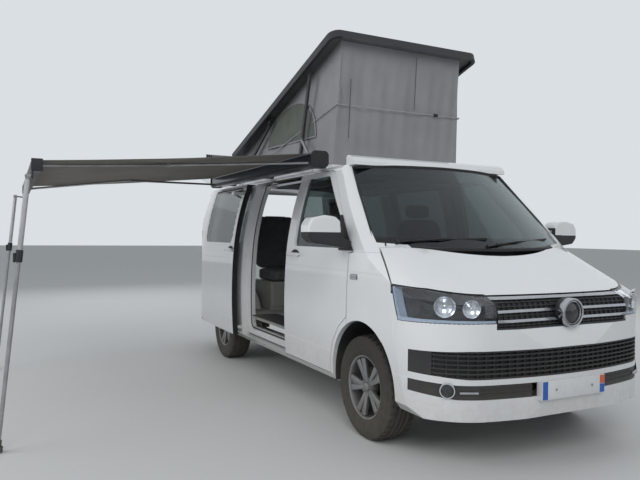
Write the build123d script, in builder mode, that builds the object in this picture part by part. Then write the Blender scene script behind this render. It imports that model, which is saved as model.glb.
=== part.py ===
from build123d import *
import os
from math import atan2, cos, degrees, hypot, radians, sin, tan

# Camper van with a lift-up sleeping roof and a side awning, in millimetres.
# The van frame has x to the van's left, y rearward from the front axle, z up from the ground.

# Overall sizes
WHEELBASE = 3000
TRACK = 1628
FRONT_Y = -905
REAR_Y = 3996
HALF_WIDTH = 950
SILL_Z = 300
FLOOR_Z = 560
FLOOR_THICKNESS = 45
BELT_Z = 1245
ROOF_Z = 1935

# Panel thicknesses and fits
GLASS = 6
SKIN = 14
LID = 22
DOOR = 50
SEAL = 5
PILLAR = 90
SHUT_GAP = 6
RUNNING = 0.3
JOINT = 0.3
LID_GAP = 8

# Wheels
TYRE_R = 343
RIM_R = 203
ARCH_R = 400
ARCH_Z = 385
WHEEL_X = TRACK / 2
KINGPIN_X = 764
SPINDLE_R = 24

# Lift-up roof: closed rail height, raised slope and link pivots
RAIL_Z = 1935
ROOF_FRONT = (840, 3000)
ROOF_REAR = (3361, 2245)
ROOF_HALF = 745
ROOF_EDGE = 60
ROOF_SKIN = 24
LINK_DROP = 85
LINK_REACH = 1524
LINK_FOOT_Y = 3221.8
LINK_ANGLE = 30
LIFT_ARM_Y = 1550
LIFT_ARM = 840
LIFT_ARM_LEAN = 15
STAY_FOOT_Y = 1166
STAY = 375
STAY_ANGLE = 44
LINK_X = 672
ARM_X = 698
STAY_X = 726
PIN_R = 8

# Tailgate and awning
GATE_HINGE = (3849, 1918)
GATE_OPEN = 98.8
AWNING_FRONT = 690
AWNING_REAR = 3290
CASE_X = -985
LEAD_X = -2880
LEAD_Z = 1800
FOOT_X = -3090
LEG_STEP = 45
LEG_PIVOT_Z = 1700

os.makedirs("parts", exist_ok=True)
pieces = []


def keep(part, label):
    """Labels a finished piece and keeps it for the export at the end."""
    part.label = label
    pieces.append(part)
    return part


def slab(x_low, x_high, y_low, y_high, z_low, z_high):
    """A plain block between two corners."""
    with BuildPart() as block:
        with BuildSketch(Plane.XY.offset(z_low)):
            with Locations(((x_low + x_high) / 2, (y_low + y_high) / 2)):
                Rectangle(x_high - x_low, y_high - y_low)
        extrude(amount=z_high - z_low)
    return block.part


def side_prism(points, x_low, x_high, radius=0, grow=0):
    """A block whose outline is drawn in side view, with rounded corners."""
    with BuildPart() as block:
        with BuildSketch(Plane.YZ.offset(x_low)) as outline:
            with BuildLine():
                Polyline(*points, close=True)
            make_face()
            if radius:
                fillet(outline.vertices(), radius)
            if grow:
                offset(amount=grow, kind=Kind.INTERSECTION, mode=Mode.REPLACE)
        extrude(amount=x_high - x_low)
    return block.part


def front_prism(points, y_low, y_high, radius=0, grow=0):
    """A block whose outline is drawn in front view, mirrored left to right."""
    with BuildPart() as block:
        with BuildSketch(Plane.XZ.offset(-y_low)) as outline:
            with BuildLine() as half:
                Polyline(*points)
                mirror(half.line, about=Plane.YZ)
            make_face()
            if radius:
                corners = [v for v in outline.vertices() if abs(v.X) > 1]
                fillet(corners, radius)
            if grow:
                offset(amount=grow, kind=Kind.INTERSECTION, mode=Mode.REPLACE)
        extrude(amount=-(y_high - y_low))
    return block.part


def rod(start, end, radius):
    """A round bar between two points."""
    path = Vector(*end) - Vector(*start)
    with BuildPart() as bar:
        with BuildSketch(Plane(origin=start, z_dir=path)):
            Circle(radius)
        extrude(amount=path.length)
    return bar.part


# Outer form of the body: simple surfaces cut each other, as a clay model is planed

SCREEN_SLOPE = 0.92
SCREEN_BASE = (-285, 1262)
SCREEN_PLAN_R = 1715
BONNET_SLOPE = 0.47
BONNET_FRONT = (-800, 1003)


def cross_section(i):
    """Half front view of the body, from the sill over the waist to the roof's crown."""
    with BuildLine() as half:
        Polyline((0, SILL_Z + i), (886 - 0.6 * i, SILL_Z + i), (932 - i, 352 + 0.4 * i))
        ThreePointArc((932 - i, 352 + 0.4 * i), (HALF_WIDTH - i, 830), (931 - i, BELT_Z))
        ThreePointArc((931 - i, BELT_Z), (884 - i, 1530), (808 - i, 1800 - 0.2 * i))
        ThreePointArc((808 - i, 1800 - 0.2 * i), (789 - i, 1860 - 0.5 * i), (736 - 0.6 * i, 1893 - i))
        ThreePointArc((736 - 0.6 * i, 1893 - i), (370, 1925 - i), (0, ROOF_Z - i))
    return half.line


def side_profile(i):
    """Side view of the body, nose to tail."""
    with BuildLine() as line:
        Polyline((-885 + i, SILL_Z), (FRONT_Y + i, 420), (FRONT_Y + i, 625))
        ThreePointArc((FRONT_Y + i, 625), (-878 + i, 815), (-835 + i, 965))
        Polyline((-835 + i, 965), (-800 + i, 1003), (-800 + i, 2000), (3700, 2000), (3830 - i, 1925))
        ThreePointArc((3830 - i, 1925), (3862 - i, 1905), (3880 - i, 1870))
        Line((3880 - i, 1870), (3968 - i, 1190))
        ThreePointArc((3968 - i, 1190), (3992 - i, 900), (REAR_Y - i, 600))
        Polyline((REAR_Y - i, 600), (3985 - i, SILL_Z), (-885 + i, SILL_Z))
    return line.line


def plan_profile(i):
    """Half plan view: curved nose, long straight flank and rounded tail."""
    with BuildLine() as half:
        ThreePointArc((0, FRONT_Y + i), (310, -888 + i), (610 - 0.2 * i, -838 + i))
        ThreePointArc((610 - 0.2 * i, -838 + i), (844 - 0.7 * i, -690 + 0.7 * i), (948 - i, -400 + 0.2 * i))
        Polyline((948 - i, -400 + 0.2 * i), (1010, -140), (1010, 3540), (936 - i, 3800 - 0.2 * i))
        ThreePointArc((936 - i, 3800 - 0.2 * i), (921 - i, 3868 - 0.3 * i), (898 - i, 3925 - 0.5 * i))
        ThreePointArc((898 - i, 3925 - 0.5 * i), (872 - 0.9 * i, 3962 - 0.8 * i), (830 - 0.6 * i, 3974 - i))
        ThreePointArc((830 - 0.6 * i, 3974 - i), (415, 3990 - i), (0, REAR_Y - i))
    return half.line


def screen_front(i):
    """Everything ahead of the windscreen's surface, which curves in plan and leans back."""
    reach = 1100
    low = 600
    sag = SCREEN_PLAN_R - (SCREEN_PLAN_R**2 - reach**2) ** 0.5
    shift = i * hypot(1, SCREEN_SLOPE) / SCREEN_SLOPE
    y = SCREEN_BASE[0] + shift - (SCREEN_BASE[1] - low) / SCREEN_SLOPE
    with BuildPart() as front:
        with BuildSketch(Plane.XY.offset(low)):
            with BuildLine():
                ThreePointArc((-reach, y + sag), (0, y), (reach, y + sag))
                Polyline((reach, y + sag), (reach, y - 2200), (-reach, y - 2200), (-reach, y + sag))
            make_face()
        extrude(amount=2400, dir=(0, 1, SCREEN_SLOPE))
    return front.part


def bonnet_under(i):
    """Everything below the bonnet's surface, crowned across and sloping down to the nose."""
    y = -1000
    z = BONNET_FRONT[1] + (y - BONNET_FRONT[0]) * BONNET_SLOPE - i * hypot(1, BONNET_SLOPE)
    with BuildPart() as under:
        with BuildSketch(Plane.XZ.offset(-y)):
            with BuildLine():
                with BuildLine() as half:
                    ThreePointArc((0, z), (290, z - 5), (560, z - 20))
                    ThreePointArc((560, z - 20), (715, z - 40), (850, z - 80))
                    ThreePointArc((850, z - 80), (925, z - 132), (985, z - 230))
                    Polyline((985, z - 230), (1000, z - 1100), (0, z - 1100))
                mirror(half.line, about=Plane.YZ)
            make_face()
        extrude(amount=2400, dir=(0, 1, BONNET_SLOPE))
    return under.part


def van_form(i):
    """The body's outer form set in by a thickness."""
    with BuildPart() as form:
        with BuildSketch(Plane.XZ.offset(1000)):
            with BuildLine():
                half = add(cross_section(i))
                mirror(half, about=Plane.YZ)
            make_face()
        extrude(amount=-5100)
        with BuildSketch(Plane.YZ):
            with BuildLine():
                add(side_profile(i))
            make_face()
        extrude(amount=1100, both=True, mode=Mode.INTERSECT)
        with BuildSketch(Plane.XY):
            with BuildLine():
                half = add(plan_profile(i))
                mirror(half, about=Plane.YZ)
            make_face()
        extrude(amount=2200, mode=Mode.INTERSECT)
        add(screen_front(i) - bonnet_under(i), mode=Mode.SUBTRACT)
    return form.part


outer = van_form(0)
skin_inner = van_form(SKIN)
glass_inner = van_form(GLASS)
door_inner = van_form(DOOR)
seal_face = van_form(DOOR + SEAL)
cabin = van_form(PILLAR)

# Openings drawn in side view, as corner points (y, z)

FRONT_DOOR = [(196, 1235), (196, 790), (300, 715), (395, 590), (442, 440), (450, 356), (1262, 356)]
FRONT_DOOR += [(1262, BELT_Z), (1250, 1850), (700, 1850), (655, 1838), (132, 1243)]
FRONT_DOORWAY = [(300, 1200), (300, 760), (420, 660), (480, 440), (1215, 440), (1215, 1815)]
FRONT_DOORWAY += [(760, 1815), (240, 1260)]
FRONT_GLASS = [(150, 1262), (1118, 1262), (1118, 1812), (725, 1812)]
SLIDE_DOOR = [(1268, 356), (2334, 356), (2334, BELT_Z), (2322, 1850), (1256, 1850), (1268, BELT_Z)]
SLIDE_DOORWAY = [(1335, 455), (2190, 455), (2190, 1828), (1335, 1828)]
MID_GLASS = [(1362, 1262), (2240, 1262), (2232, 1812), (1354, 1812)]
REAR_GLASS = [(2440, 1262), (3745, 1262), (3690, 1812), (2432, 1812)]
SCREEN = [(0, 1272), (420, 1278), (838, 1308), (716, 1858), (400, 1872), (0, 1876)]
GATE = [(0, 642), (812, 642), (818, 1000), (806, 1240), (718, 1840), (700, 1880), (692, 1960), (0, 1960)]
GATE_GLASS = [(0, 1262), (735, 1262), (652, 1800), (0, 1812)]
WING_SIDE = [(182, 250), (182, 1242), (-1000, 1242), (-1000, 250)]
WALL_SIDE = [(188, 250), (4050, 250), (4050, 1856), (330, 1856), (-160, 1243), (188, 1243)]


def arch(y, radius, x_low, x_high):
    """A round wheel-arch block on the left side."""
    with BuildPart() as block:
        with BuildSketch(Plane.YZ.offset(x_low)):
            with Locations((y, ARCH_Z)):
                Circle(radius)
        extrude(amount=x_high - x_low)
    return block.part


def arch_liner(y, x_low, x_high):
    """The thin liner that closes an arch towards the body, open below the sill."""
    with BuildPart() as liner:
        add(arch(y, ARCH_R + 6, x_low, x_high))
        add(arch(y, ARCH_R, x_low - 1, x_high + 1), mode=Mode.SUBTRACT)
        add(slab(0, 1000, y - 500, y + 500, -100, SILL_Z + 30), mode=Mode.SUBTRACT)
    return liner.part


BONNET_EDGE = [(940, -1000), (940, -368), (838, -70)]


def bonnet_plan(grow=0):
    """Plan outline of the bonnet, whose rear edge follows the screen and gets twice the gap."""
    back = 2 * grow
    with BuildPart() as block:
        with BuildSketch(Plane.XY.offset(1012 - grow)):
            with BuildLine():
                with BuildLine() as half:
                    Polyline((0, -1000), *[(x + grow, y + back * (y > -100)) for x, y in BONNET_EDGE])
                    ThreePointArc((838 + grow, -70 + back), (430, -232 + back), (0, -292 + back))
                mirror(half.line, about=Plane.YZ)
            make_face()
        extrude(amount=400)
    return block.part


# Side walls: outer skin, seal face and inner pillars, with every doorway stepped

BUMPER_REAR = slab(-1000, 1000, 3425, 4100, 200, 622)

BONNET_HINGE = (-62, 1278)
HINGE_PIN_R = 4
hinge_pocket = slab(782, 800, -100, -46, 1250, 1320)
hinge_pin = rod((778, *BONNET_HINGE), (804, *BONNET_HINGE), HINGE_PIN_R)

with BuildPart() as side_wall_left:
    add(outer)
    add(cabin, mode=Mode.SUBTRACT)
    add(side_prism(WALL_SIDE, 640, 1000), mode=Mode.INTERSECT)
    add(front_prism(SCREEN, -400, 700), mode=Mode.SUBTRACT)
    add(side_prism(FRONT_DOOR, 300, 1000, grow=SHUT_GAP) - seal_face, mode=Mode.SUBTRACT)
    add(side_prism(FRONT_DOORWAY, 300, 1000, radius=40), mode=Mode.SUBTRACT)
    add(side_prism(MID_GLASS, 300, 1000, radius=45), mode=Mode.SUBTRACT)
    add(side_prism(REAR_GLASS, 300, 1000, radius=45), mode=Mode.SUBTRACT)
    add(front_prism(GATE, 3700, 4100, grow=SHUT_GAP), mode=Mode.SUBTRACT)
    add(slab(800, 1000, 3850, 4050, 1050, 1390), mode=Mode.SUBTRACT)
    add(arch(WHEELBASE, ARCH_R, 600, 1000), mode=Mode.SUBTRACT)
    add(arch(0, ARCH_R, 500, 1000), mode=Mode.SUBTRACT)
    add(bonnet_plan(grow=LID_GAP), mode=Mode.SUBTRACT)
    add(BUMPER_REAR, mode=Mode.SUBTRACT)
    add(arch_liner(WHEELBASE, 632, 905) & outer)
    add(arch_liner(0, 505, 945) & outer & slab(0, 1000, 188, 500, 200, 1000))
    add(arch(WHEELBASE, ARCH_R + 6, 626, 632) - slab(0, 1000, 2400, 3600, -100, SILL_Z + 30))
    add(slab(600, 640, 2950, 3050, 300, 385), mode=Mode.SUBTRACT)
    add(hinge_pocket, mode=Mode.SUBTRACT)
    add(hinge_pin)
keep(side_wall_left.part, "side_wall_left")

with BuildPart() as side_wall_right:
    add(outer)
    add(cabin, mode=Mode.SUBTRACT)
    add(side_prism(WALL_SIDE, -1000, -640), mode=Mode.INTERSECT)
    add(front_prism(SCREEN, -400, 700), mode=Mode.SUBTRACT)
    add(side_prism(FRONT_DOOR, -1000, -300, grow=SHUT_GAP) - seal_face, mode=Mode.SUBTRACT)
    add(side_prism(FRONT_DOORWAY, -1000, -300, radius=40), mode=Mode.SUBTRACT)
    add(side_prism(SLIDE_DOOR, -1000, -300, grow=SHUT_GAP) - seal_face, mode=Mode.SUBTRACT)
    add(side_prism(SLIDE_DOORWAY, -1000, -300, radius=40), mode=Mode.SUBTRACT)
    add(side_prism(REAR_GLASS, -1000, -300, radius=45), mode=Mode.SUBTRACT)
    add(front_prism(GATE, 3700, 4100, grow=SHUT_GAP), mode=Mode.SUBTRACT)
    add(slab(-1000, -800, 3850, 4050, 1050, 1390), mode=Mode.SUBTRACT)
    add(arch(WHEELBASE, ARCH_R, -1000, -600), mode=Mode.SUBTRACT)
    add(arch(0, ARCH_R, -1000, -500), mode=Mode.SUBTRACT)
    add(bonnet_plan(grow=LID_GAP), mode=Mode.SUBTRACT)
    add(BUMPER_REAR, mode=Mode.SUBTRACT)
    liner = arch_liner(WHEELBASE, 632, 905)
    liner += arch_liner(0, 505, 945) & slab(0, 1000, 188, 500, 200, 1000)
    liner += arch(WHEELBASE, ARCH_R + 6, 626, 632) - slab(0, 1000, 2400, 3600, -100, SILL_Z + 30)
    add(mirror(liner & outer, about=Plane.YZ))
    add(slab(-640, -600, 2950, 3050, 300, 385), mode=Mode.SUBTRACT)
    add(mirror(hinge_pocket, about=Plane.YZ), mode=Mode.SUBTRACT)
    add(mirror(hinge_pin, about=Plane.YZ))
keep(side_wall_right.part, "side_wall_right")


# Rubber seals on the doorway flanges, which the shut doors press on

seal_band = van_form(DOOR + RUNNING) - van_form(DOOR + SEAL - JOINT)
front_frame = side_prism(FRONT_DOORWAY, 600, 1000, radius=40, grow=22)
front_hole = side_prism(FRONT_DOORWAY, 600, 1000, radius=40, grow=6)
slide_frame = side_prism(SLIDE_DOORWAY, -1000, -600, radius=40, grow=22)
slide_hole = side_prism(SLIDE_DOORWAY, -1000, -600, radius=40, grow=6)
with BuildPart() as door_seals:
    add((seal_band & front_frame) - front_hole)
    mirror(about=Plane.YZ)
    add((seal_band & slide_frame) - slide_hole)
keep(door_seals.part, "door_seals")

# Roof frame round the sleeping-roof opening, with lugs for the lifting linkage

ROOF_OPEN_FRONT = 1050
ROOF_OPEN_REAR = 3120
ROOF_OPEN_HALF = 590
roof_hole = slab(-ROOF_OPEN_HALF, ROOF_OPEN_HALF, ROOF_OPEN_FRONT, ROOF_OPEN_REAR, 1700, 2100)

with BuildPart() as roof_frame:
    add(outer)
    add(seal_face, mode=Mode.SUBTRACT)
    add(slab(-1000, 1000, 300, 3900, 1856, 2000), mode=Mode.INTERSECT)
    add(roof_hole, mode=Mode.SUBTRACT)
    add(front_prism(GATE, 3846, 4100, grow=SHUT_GAP), mode=Mode.SUBTRACT)
    add(front_prism(SCREEN, -400, 700), mode=Mode.SUBTRACT)
    with BuildSketch(Plane.YZ):
        with BuildLine():
            Polyline((470, 1884), (478, 1912), (505, 1943), (545, 1960), (580, 1962), (596, 1950),
                     (596, 1884), close=True)
        make_face()
    extrude(amount=735, both=True)
    add(slab(-655, 655, 985, 3195, 1884, RAIL_Z + 1.7) - roof_hole)
    for side in (-1, 1):
        for y, x, half, lug in (
            (LIFT_ARM_Y, ARM_X, 10, 8),
            (LINK_FOOT_Y, LINK_X, 10, 8),
            (STAY_FOOT_Y, STAY_X, 7, 6),
        ):
            with Locations((side * (x + half + 2 + lug / 2), y, RAIL_Z - 24)):
                Box(lug, 44, 76)
            with Locations((side * (x + lug / 2 + 1), y, RAIL_Z)):
                Cylinder(PIN_R, 2 * half + lug + 2, rotation=(0, 90, 0))
    for x in (-500, 500):
        for offset_x in (-40, 40):
            add(rod((x + offset_x - 5, *GATE_HINGE), (x + offset_x + 5, *GATE_HINGE), 8))
            add(slab(x + offset_x - 5, x + offset_x + 5, 3836, 3845.5, 1880, GATE_HINGE[1]))
        add(rod((x - 34, *GATE_HINGE), (x + 34, *GATE_HINGE), 14), mode=Mode.SUBTRACT)
        add(rod((x - 42, *GATE_HINGE), (x + 42, *GATE_HINGE), 4))
keep(roof_frame.part, "roof_frame")

# Windscreen and fixed side windows follow the body's own surface

with BuildPart() as windscreen:
    add(outer)
    add(glass_inner, mode=Mode.SUBTRACT)
    add(front_prism(SCREEN, -400, 700), mode=Mode.INTERSECT)
keep(windscreen.part, "windscreen")

with BuildPart() as side_windows:
    add(outer)
    add(glass_inner, mode=Mode.SUBTRACT)
    panes = side_prism(MID_GLASS, 500, 1000, radius=45) + side_prism(REAR_GLASS, 500, 1000, radius=45)
    add(panes + side_prism(REAR_GLASS, -1000, -500, radius=45), mode=Mode.INTERSECT)
keep(side_windows.part, "side_windows")

# Floor, firewall and cowl

with BuildPart() as floor_pan:
    add(slab(-1000, 1000, -110, 3905, FLOOR_Z - FLOOR_THICKNESS, FLOOR_Z) & cabin)
    for y in (0, WHEELBASE):
        add(arch(y, ARCH_R + 7, 500 if y == 0 else 625, 1000), mode=Mode.SUBTRACT)
        add(arch(y, ARCH_R + 7, -1000, -500 if y == 0 else -625), mode=Mode.SUBTRACT)
keep(floor_pan.part, "floor_pan")

with BuildPart() as cowl_panel:
    add(outer)
    add(skin_inner, mode=Mode.SUBTRACT)
    add(slab(-640, 640, -420, 700, 1100, 1400), mode=Mode.INTERSECT)
    add(bonnet_plan(grow=LID_GAP), mode=Mode.SUBTRACT)
    add(front_prism(SCREEN, -400, 700), mode=Mode.SUBTRACT)
    add(slab(-640, 640, -140, -110.4, FLOOR_Z - FLOOR_THICKNESS, 1262) & seal_face)
    add(arch(0, ARCH_R + 7, 500, 1000), mode=Mode.SUBTRACT)
    add(arch(0, ARCH_R + 7, -1000, -500), mode=Mode.SUBTRACT)
keep(cowl_panel.part, "cowl_panel")

# Nose: wings with arch liners, bonnet, bumper, lamps and grilles

LAMP = [(-1000, 862), (-440, 850), (-362, 1054), (-560, 1038), (-745, 1006), (-1000, 962)]
LAMP_INNER = 545
BUMPER_TOP = 822
BUMPER_SIDE = [(-1000, 200), (-262, 200), (-262, 690), (-440, 856), (-1000, 868)]
HINGE_LUG = [(-115, 1245), (-115, 1262), (-68, 1285), (-62, 1270), (-90, 1250)]


def lamp_block(x_low, x_high, grow=0):
    """Side-view outline of a headlamp."""
    return side_prism(LAMP, x_low, x_high, grow=grow)


with BuildPart() as front_wings:
    add(outer)
    add(skin_inner, mode=Mode.SUBTRACT)
    add(side_prism(WING_SIDE, -1000, 1000), mode=Mode.INTERSECT)
    add(slab(-LAMP_INNER, LAMP_INNER, -1000, 300, 200, 1400), mode=Mode.SUBTRACT)
    add(bonnet_plan(grow=LID_GAP), mode=Mode.SUBTRACT)
    add(side_prism(BUMPER_SIDE, -1000, 1000, grow=JOINT), mode=Mode.SUBTRACT)
    add(slab(-640, 640, -300, 300, 1000, 1400), mode=Mode.SUBTRACT)
    add(side_prism(FRONT_DOOR, -1000, 1000, grow=SHUT_GAP), mode=Mode.SUBTRACT)
    add(lamp_block(LAMP_INNER - 60, 1000, grow=JOINT), mode=Mode.SUBTRACT)
    add(lamp_block(-1000, -LAMP_INNER + 60, grow=JOINT), mode=Mode.SUBTRACT)
    add(arch(0, ARCH_R, 500, 1000), mode=Mode.SUBTRACT)
    add(arch(0, ARCH_R, -1000, -500), mode=Mode.SUBTRACT)
    add(slab(-800, 800, -400, 400, 0, 900), mode=Mode.SUBTRACT)
    wing_liner = arch_liner(0, 505, 945) & (outer - side_prism(BUMPER_SIDE, 0, 1000, grow=JOINT))
    wing_liner -= slab(0, 1000, 187.7, 500, 300, 900)
    add(wing_liner)
    add(mirror(wing_liner, about=Plane.YZ))
keep(front_wings.part, "front_wings")

with BuildPart() as bonnet:
    add(outer)
    add(van_form(LID), mode=Mode.SUBTRACT)
    add(bonnet_plan(), mode=Mode.INTERSECT)
    add(screen_front(-3), mode=Mode.INTERSECT)
    add(slab(-700, 700, -150, 0, 1100, 1400), mode=Mode.SUBTRACT)
    add(lamp_block(LAMP_INNER - LID_GAP, 1000, grow=LID_GAP), mode=Mode.SUBTRACT)
    add(lamp_block(-1000, -LAMP_INNER + LID_GAP, grow=LID_GAP), mode=Mode.SUBTRACT)
    for side in (-1, 1):
        lug_low, lug_high = sorted((side * 785, side * 797))
        add(side_prism(HINGE_LUG, lug_low, lug_high))
        add(rod((side * 785, *BONNET_HINGE), (side * 797, *BONNET_HINGE), 8))
        pin_hole = rod((side * 770, *BONNET_HINGE), (side * 812, *BONNET_HINGE), HINGE_PIN_R + RUNNING)
        add(pin_hole, mode=Mode.SUBTRACT)
keep(bonnet.part, "bonnet")

LOWER_GRILLE = [(0, 540), (700, 540), (930, 560), (930, 690), (700, 702), (0, 702)]
FOG_STRIP = [(0, 425), (760, 425), (930, 450), (930, 520), (760, 508), (0, 508)]

with BuildPart() as front_bumper:
    add(outer)
    add(skin_inner, mode=Mode.SUBTRACT)
    add(side_prism(BUMPER_SIDE, -1000, 1000), mode=Mode.INTERSECT)
    add(slab(-LAMP_INNER, LAMP_INNER, -1000, -300, BUMPER_TOP, 900), mode=Mode.SUBTRACT)
    add(lamp_block(LAMP_INNER - JOINT, 1000, grow=JOINT), mode=Mode.SUBTRACT)
    add(lamp_block(-1000, -LAMP_INNER + JOINT, grow=JOINT), mode=Mode.SUBTRACT)
    add(arch(0, ARCH_R + 4, -1000, 1000), mode=Mode.SUBTRACT)
    add(front_prism(LOWER_GRILLE, -1000, -420), mode=Mode.SUBTRACT)
    add(front_prism(FOG_STRIP, -1000, -420), mode=Mode.SUBTRACT)
    add(slab(-690, 690, -780, -300, 250, 330), mode=Mode.SUBTRACT)
    add(slab(-262, 262, FRONT_Y - 20, -884, 404, 516))
    with Locations((-150, -910, 460), (150, -910, 460)):
        Cylinder(2.5, 60, rotation=(90, 0, 0), mode=Mode.SUBTRACT)
    with Locations((0, -900, 904)):
        Cylinder(90, 120, rotation=(90, 0, 0), mode=Mode.SUBTRACT)
keep(front_bumper.part, "front_bumper")

with BuildPart() as headlamps:
    add(outer)
    add(van_form(60), mode=Mode.SUBTRACT)
    lamps = lamp_block(LAMP_INNER, 1000) + lamp_block(-1000, -LAMP_INNER)
    add(lamps, mode=Mode.INTERSECT)
keep(headlamps.part, "headlamps")

with BuildPart() as radiator_grille:
    add(outer)
    add(van_form(30), mode=Mode.SUBTRACT)
    upper = slab(-LAMP_INNER + JOINT, LAMP_INNER - JOINT, -1000, -700, BUMPER_TOP + JOINT, 1004)
    openings = front_prism(LOWER_GRILLE, -1000, -420) + front_prism(FOG_STRIP, -1000, -420)
    add(upper + (openings - slab(-300, 300, -1000, -400, 400, 520)), mode=Mode.INTERSECT)
    with BuildSketch(Plane.XZ.offset(905)):
        with Locations((0, 904)):
            Circle(87)
    extrude(amount=-40)
keep(radiator_grille.part, "radiator_grille")

with BuildPart() as rear_bumper:
    add(outer)
    add(van_form(18), mode=Mode.SUBTRACT)
    add(slab(-1000, 1000, 3425 + JOINT, 4100, 200, 622 - JOINT), mode=Mode.INTERSECT)
    add(slab(-1000, 1000, 3400, 3930, 200, 330), mode=Mode.SUBTRACT)
    add(arch(WHEELBASE, ARCH_R + 6, -1000, 1000), mode=Mode.SUBTRACT)
keep(rear_bumper.part, "rear_bumper")

with BuildPart() as tail_lamps:
    add(outer)
    add(van_form(60), mode=Mode.SUBTRACT)
    add(slab(800 + JOINT, 1000, 3850 + JOINT, 4050, 1050 + JOINT, 1390 - JOINT), mode=Mode.INTERSECT)
    add(front_prism(GATE, 3700, 4100, grow=SHUT_GAP), mode=Mode.SUBTRACT)
    mirror(about=Plane.YZ)
keep(tail_lamps.part, "tail_lamps")

# Front doors, their glass and mirrors

with BuildPart() as front_door_left:
    add(outer)
    add(door_inner, mode=Mode.SUBTRACT)
    add(side_prism(FRONT_DOOR, 715, 1000), mode=Mode.INTERSECT)
    add(side_prism(FRONT_GLASS, 300, 1000, radius=30), mode=Mode.SUBTRACT)
keep(front_door_left.part, "front_door_left")

with BuildPart() as door_glass_left:
    add(van_form(20))
    add(van_form(25), mode=Mode.SUBTRACT)
    add(side_prism(FRONT_GLASS, 300, 1000, radius=30), mode=Mode.INTERSECT)
keep(door_glass_left.part, "door_glass_left")

with BuildPart() as door_mirror_left:
    sail = side_prism([(122, 1248), (330, 1248), (330, 1330), (372, 1500), (345, 1500)], 500, 1000)
    sail_foot = side_prism([(215, 1250), (326, 1250), (326, 1262), (222, 1262)], 500, 1000)
    add((van_form(-12) - van_form(-6)) & sail)
    add((van_form(-8) - outer) & sail_foot)
    with BuildSketch(Plane.XZ.offset(-165)):
        with BuildLine():
            Polyline((930, 1262), (1215, 1300), (1254, 1345), (1254, 1420), (1225, 1470), (1130, 1490),
                     (1050, 1480), (1012, 1450), (1000, 1340), (930, 1312), close=True)
        make_face()
    extrude(amount=-130)
    add(van_form(-6), mode=Mode.SUBTRACT)
    add((van_form(-8) - outer) & sail_foot)
keep(door_mirror_left.part, "door_mirror_left")

for source, label in (
    (front_door_left, "front_door_right"),
    (door_glass_left, "door_glass_right"),
    (door_mirror_left, "door_mirror_right"),
):
    with BuildPart() as twin:
        add(mirror(source.part, about=Plane.YZ))
    keep(twin.part, label)

# Sliding door, shown rolled back on its three runners

SLIDE_BACK = 1088
SLIDE_OUT = 95

with BuildPart() as sliding_door:
    add(outer)
    add(door_inner, mode=Mode.SUBTRACT)
    add(side_prism(SLIDE_DOOR, -1000, -715), mode=Mode.INTERSECT)
    add(side_prism(MID_GLASS, -1000, -300, radius=45), mode=Mode.SUBTRACT)
sliding_door_open = Location((-SLIDE_OUT, SLIDE_BACK, 0)) * sliding_door.part
with BuildPart() as sliding_door_set:
    add(sliding_door_open)
    for z, reach in ((420, 40), (1760, 60)):
        with Locations((-950, 2400, z)):
            Box(160, 60, 30)
    with Locations((-965, 3360, 1180)):
        Box(70, 70, 50)
    add(outer, mode=Mode.SUBTRACT)
keep(sliding_door_set.part, "sliding_door")

with BuildPart() as sliding_door_glass:
    add(outer)
    add(glass_inner, mode=Mode.SUBTRACT)
    add(side_prism(MID_GLASS, -1000, -300, radius=45), mode=Mode.INTERSECT)
keep(Location((-SLIDE_OUT, SLIDE_BACK, 0)) * sliding_door_glass.part, "sliding_door_glass")

# Tailgate, modelled shut and swung up about its hinge, with a folded bike carrier

gate_axis = Axis((0, GATE_HINGE[0], GATE_HINGE[1]), (1, 0, 0))

with BuildPart() as tailgate:
    add(outer)
    add(door_inner, mode=Mode.SUBTRACT)
    add(front_prism(GATE, 3700, 4100), mode=Mode.INTERSECT)
    add(slab(-1000, 1000, 3700, 3852, 1800, 1950), mode=Mode.SUBTRACT)
    add(front_prism(GATE_GLASS, 3700, 4100, radius=40), mode=Mode.SUBTRACT)
    for x in (-500, 500):
        add(rod((x - 52, *GATE_HINGE), (x + 52, *GATE_HINGE), 14), mode=Mode.SUBTRACT)
        add(rod((x - 28, *GATE_HINGE), (x + 28, *GATE_HINGE), 8))
        add(slab(x - 28, x + 28, 3852, 3857, 1870, GATE_HINGE[1] - 3))
        add(rod((x - 30, *GATE_HINGE), (x + 30, *GATE_HINGE), 4 + RUNNING), mode=Mode.SUBTRACT)
keep(tailgate.part.rotate(gate_axis, GATE_OPEN), "tailgate")

with BuildPart() as tailgate_glass:
    add(outer)
    add(glass_inner, mode=Mode.SUBTRACT)
    add(front_prism(GATE_GLASS, 3840, 4100, radius=40), mode=Mode.INTERSECT)
keep(tailgate_glass.part.rotate(gate_axis, GATE_OPEN), "tailgate_glass")

with BuildPart() as bike_carrier:
    for z in (1000, 1090, 1180):
        with Locations((0, 4198, z)):
            Box(1240, 50, 46)
    for x in (-420, 420):
        with Locations((x, 4158, 1000)):
            Box(30, 40, 420)
        for z in (830, 1160):
            with Locations((x, 4064, z)):
                Box(30, 208, 30)
    add(outer, mode=Mode.SUBTRACT)
keep(bike_carrier.part.rotate(gate_axis, GATE_OPEN), "bike_carrier")

# Cabin fittings

with BuildPart() as dashboard:
    add(cabin)
    add(slab(-1000, 1000, -110, 330, 905, 1215), mode=Mode.INTERSECT)
    add(arch(0, ARCH_R + 7, 500, 1000), mode=Mode.SUBTRACT)
    add(arch(0, ARCH_R + 7, -1000, -500), mode=Mode.SUBTRACT)
keep(dashboard.part, "dashboard")

WHEEL_HUB = (400, 470, 1120)

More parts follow.
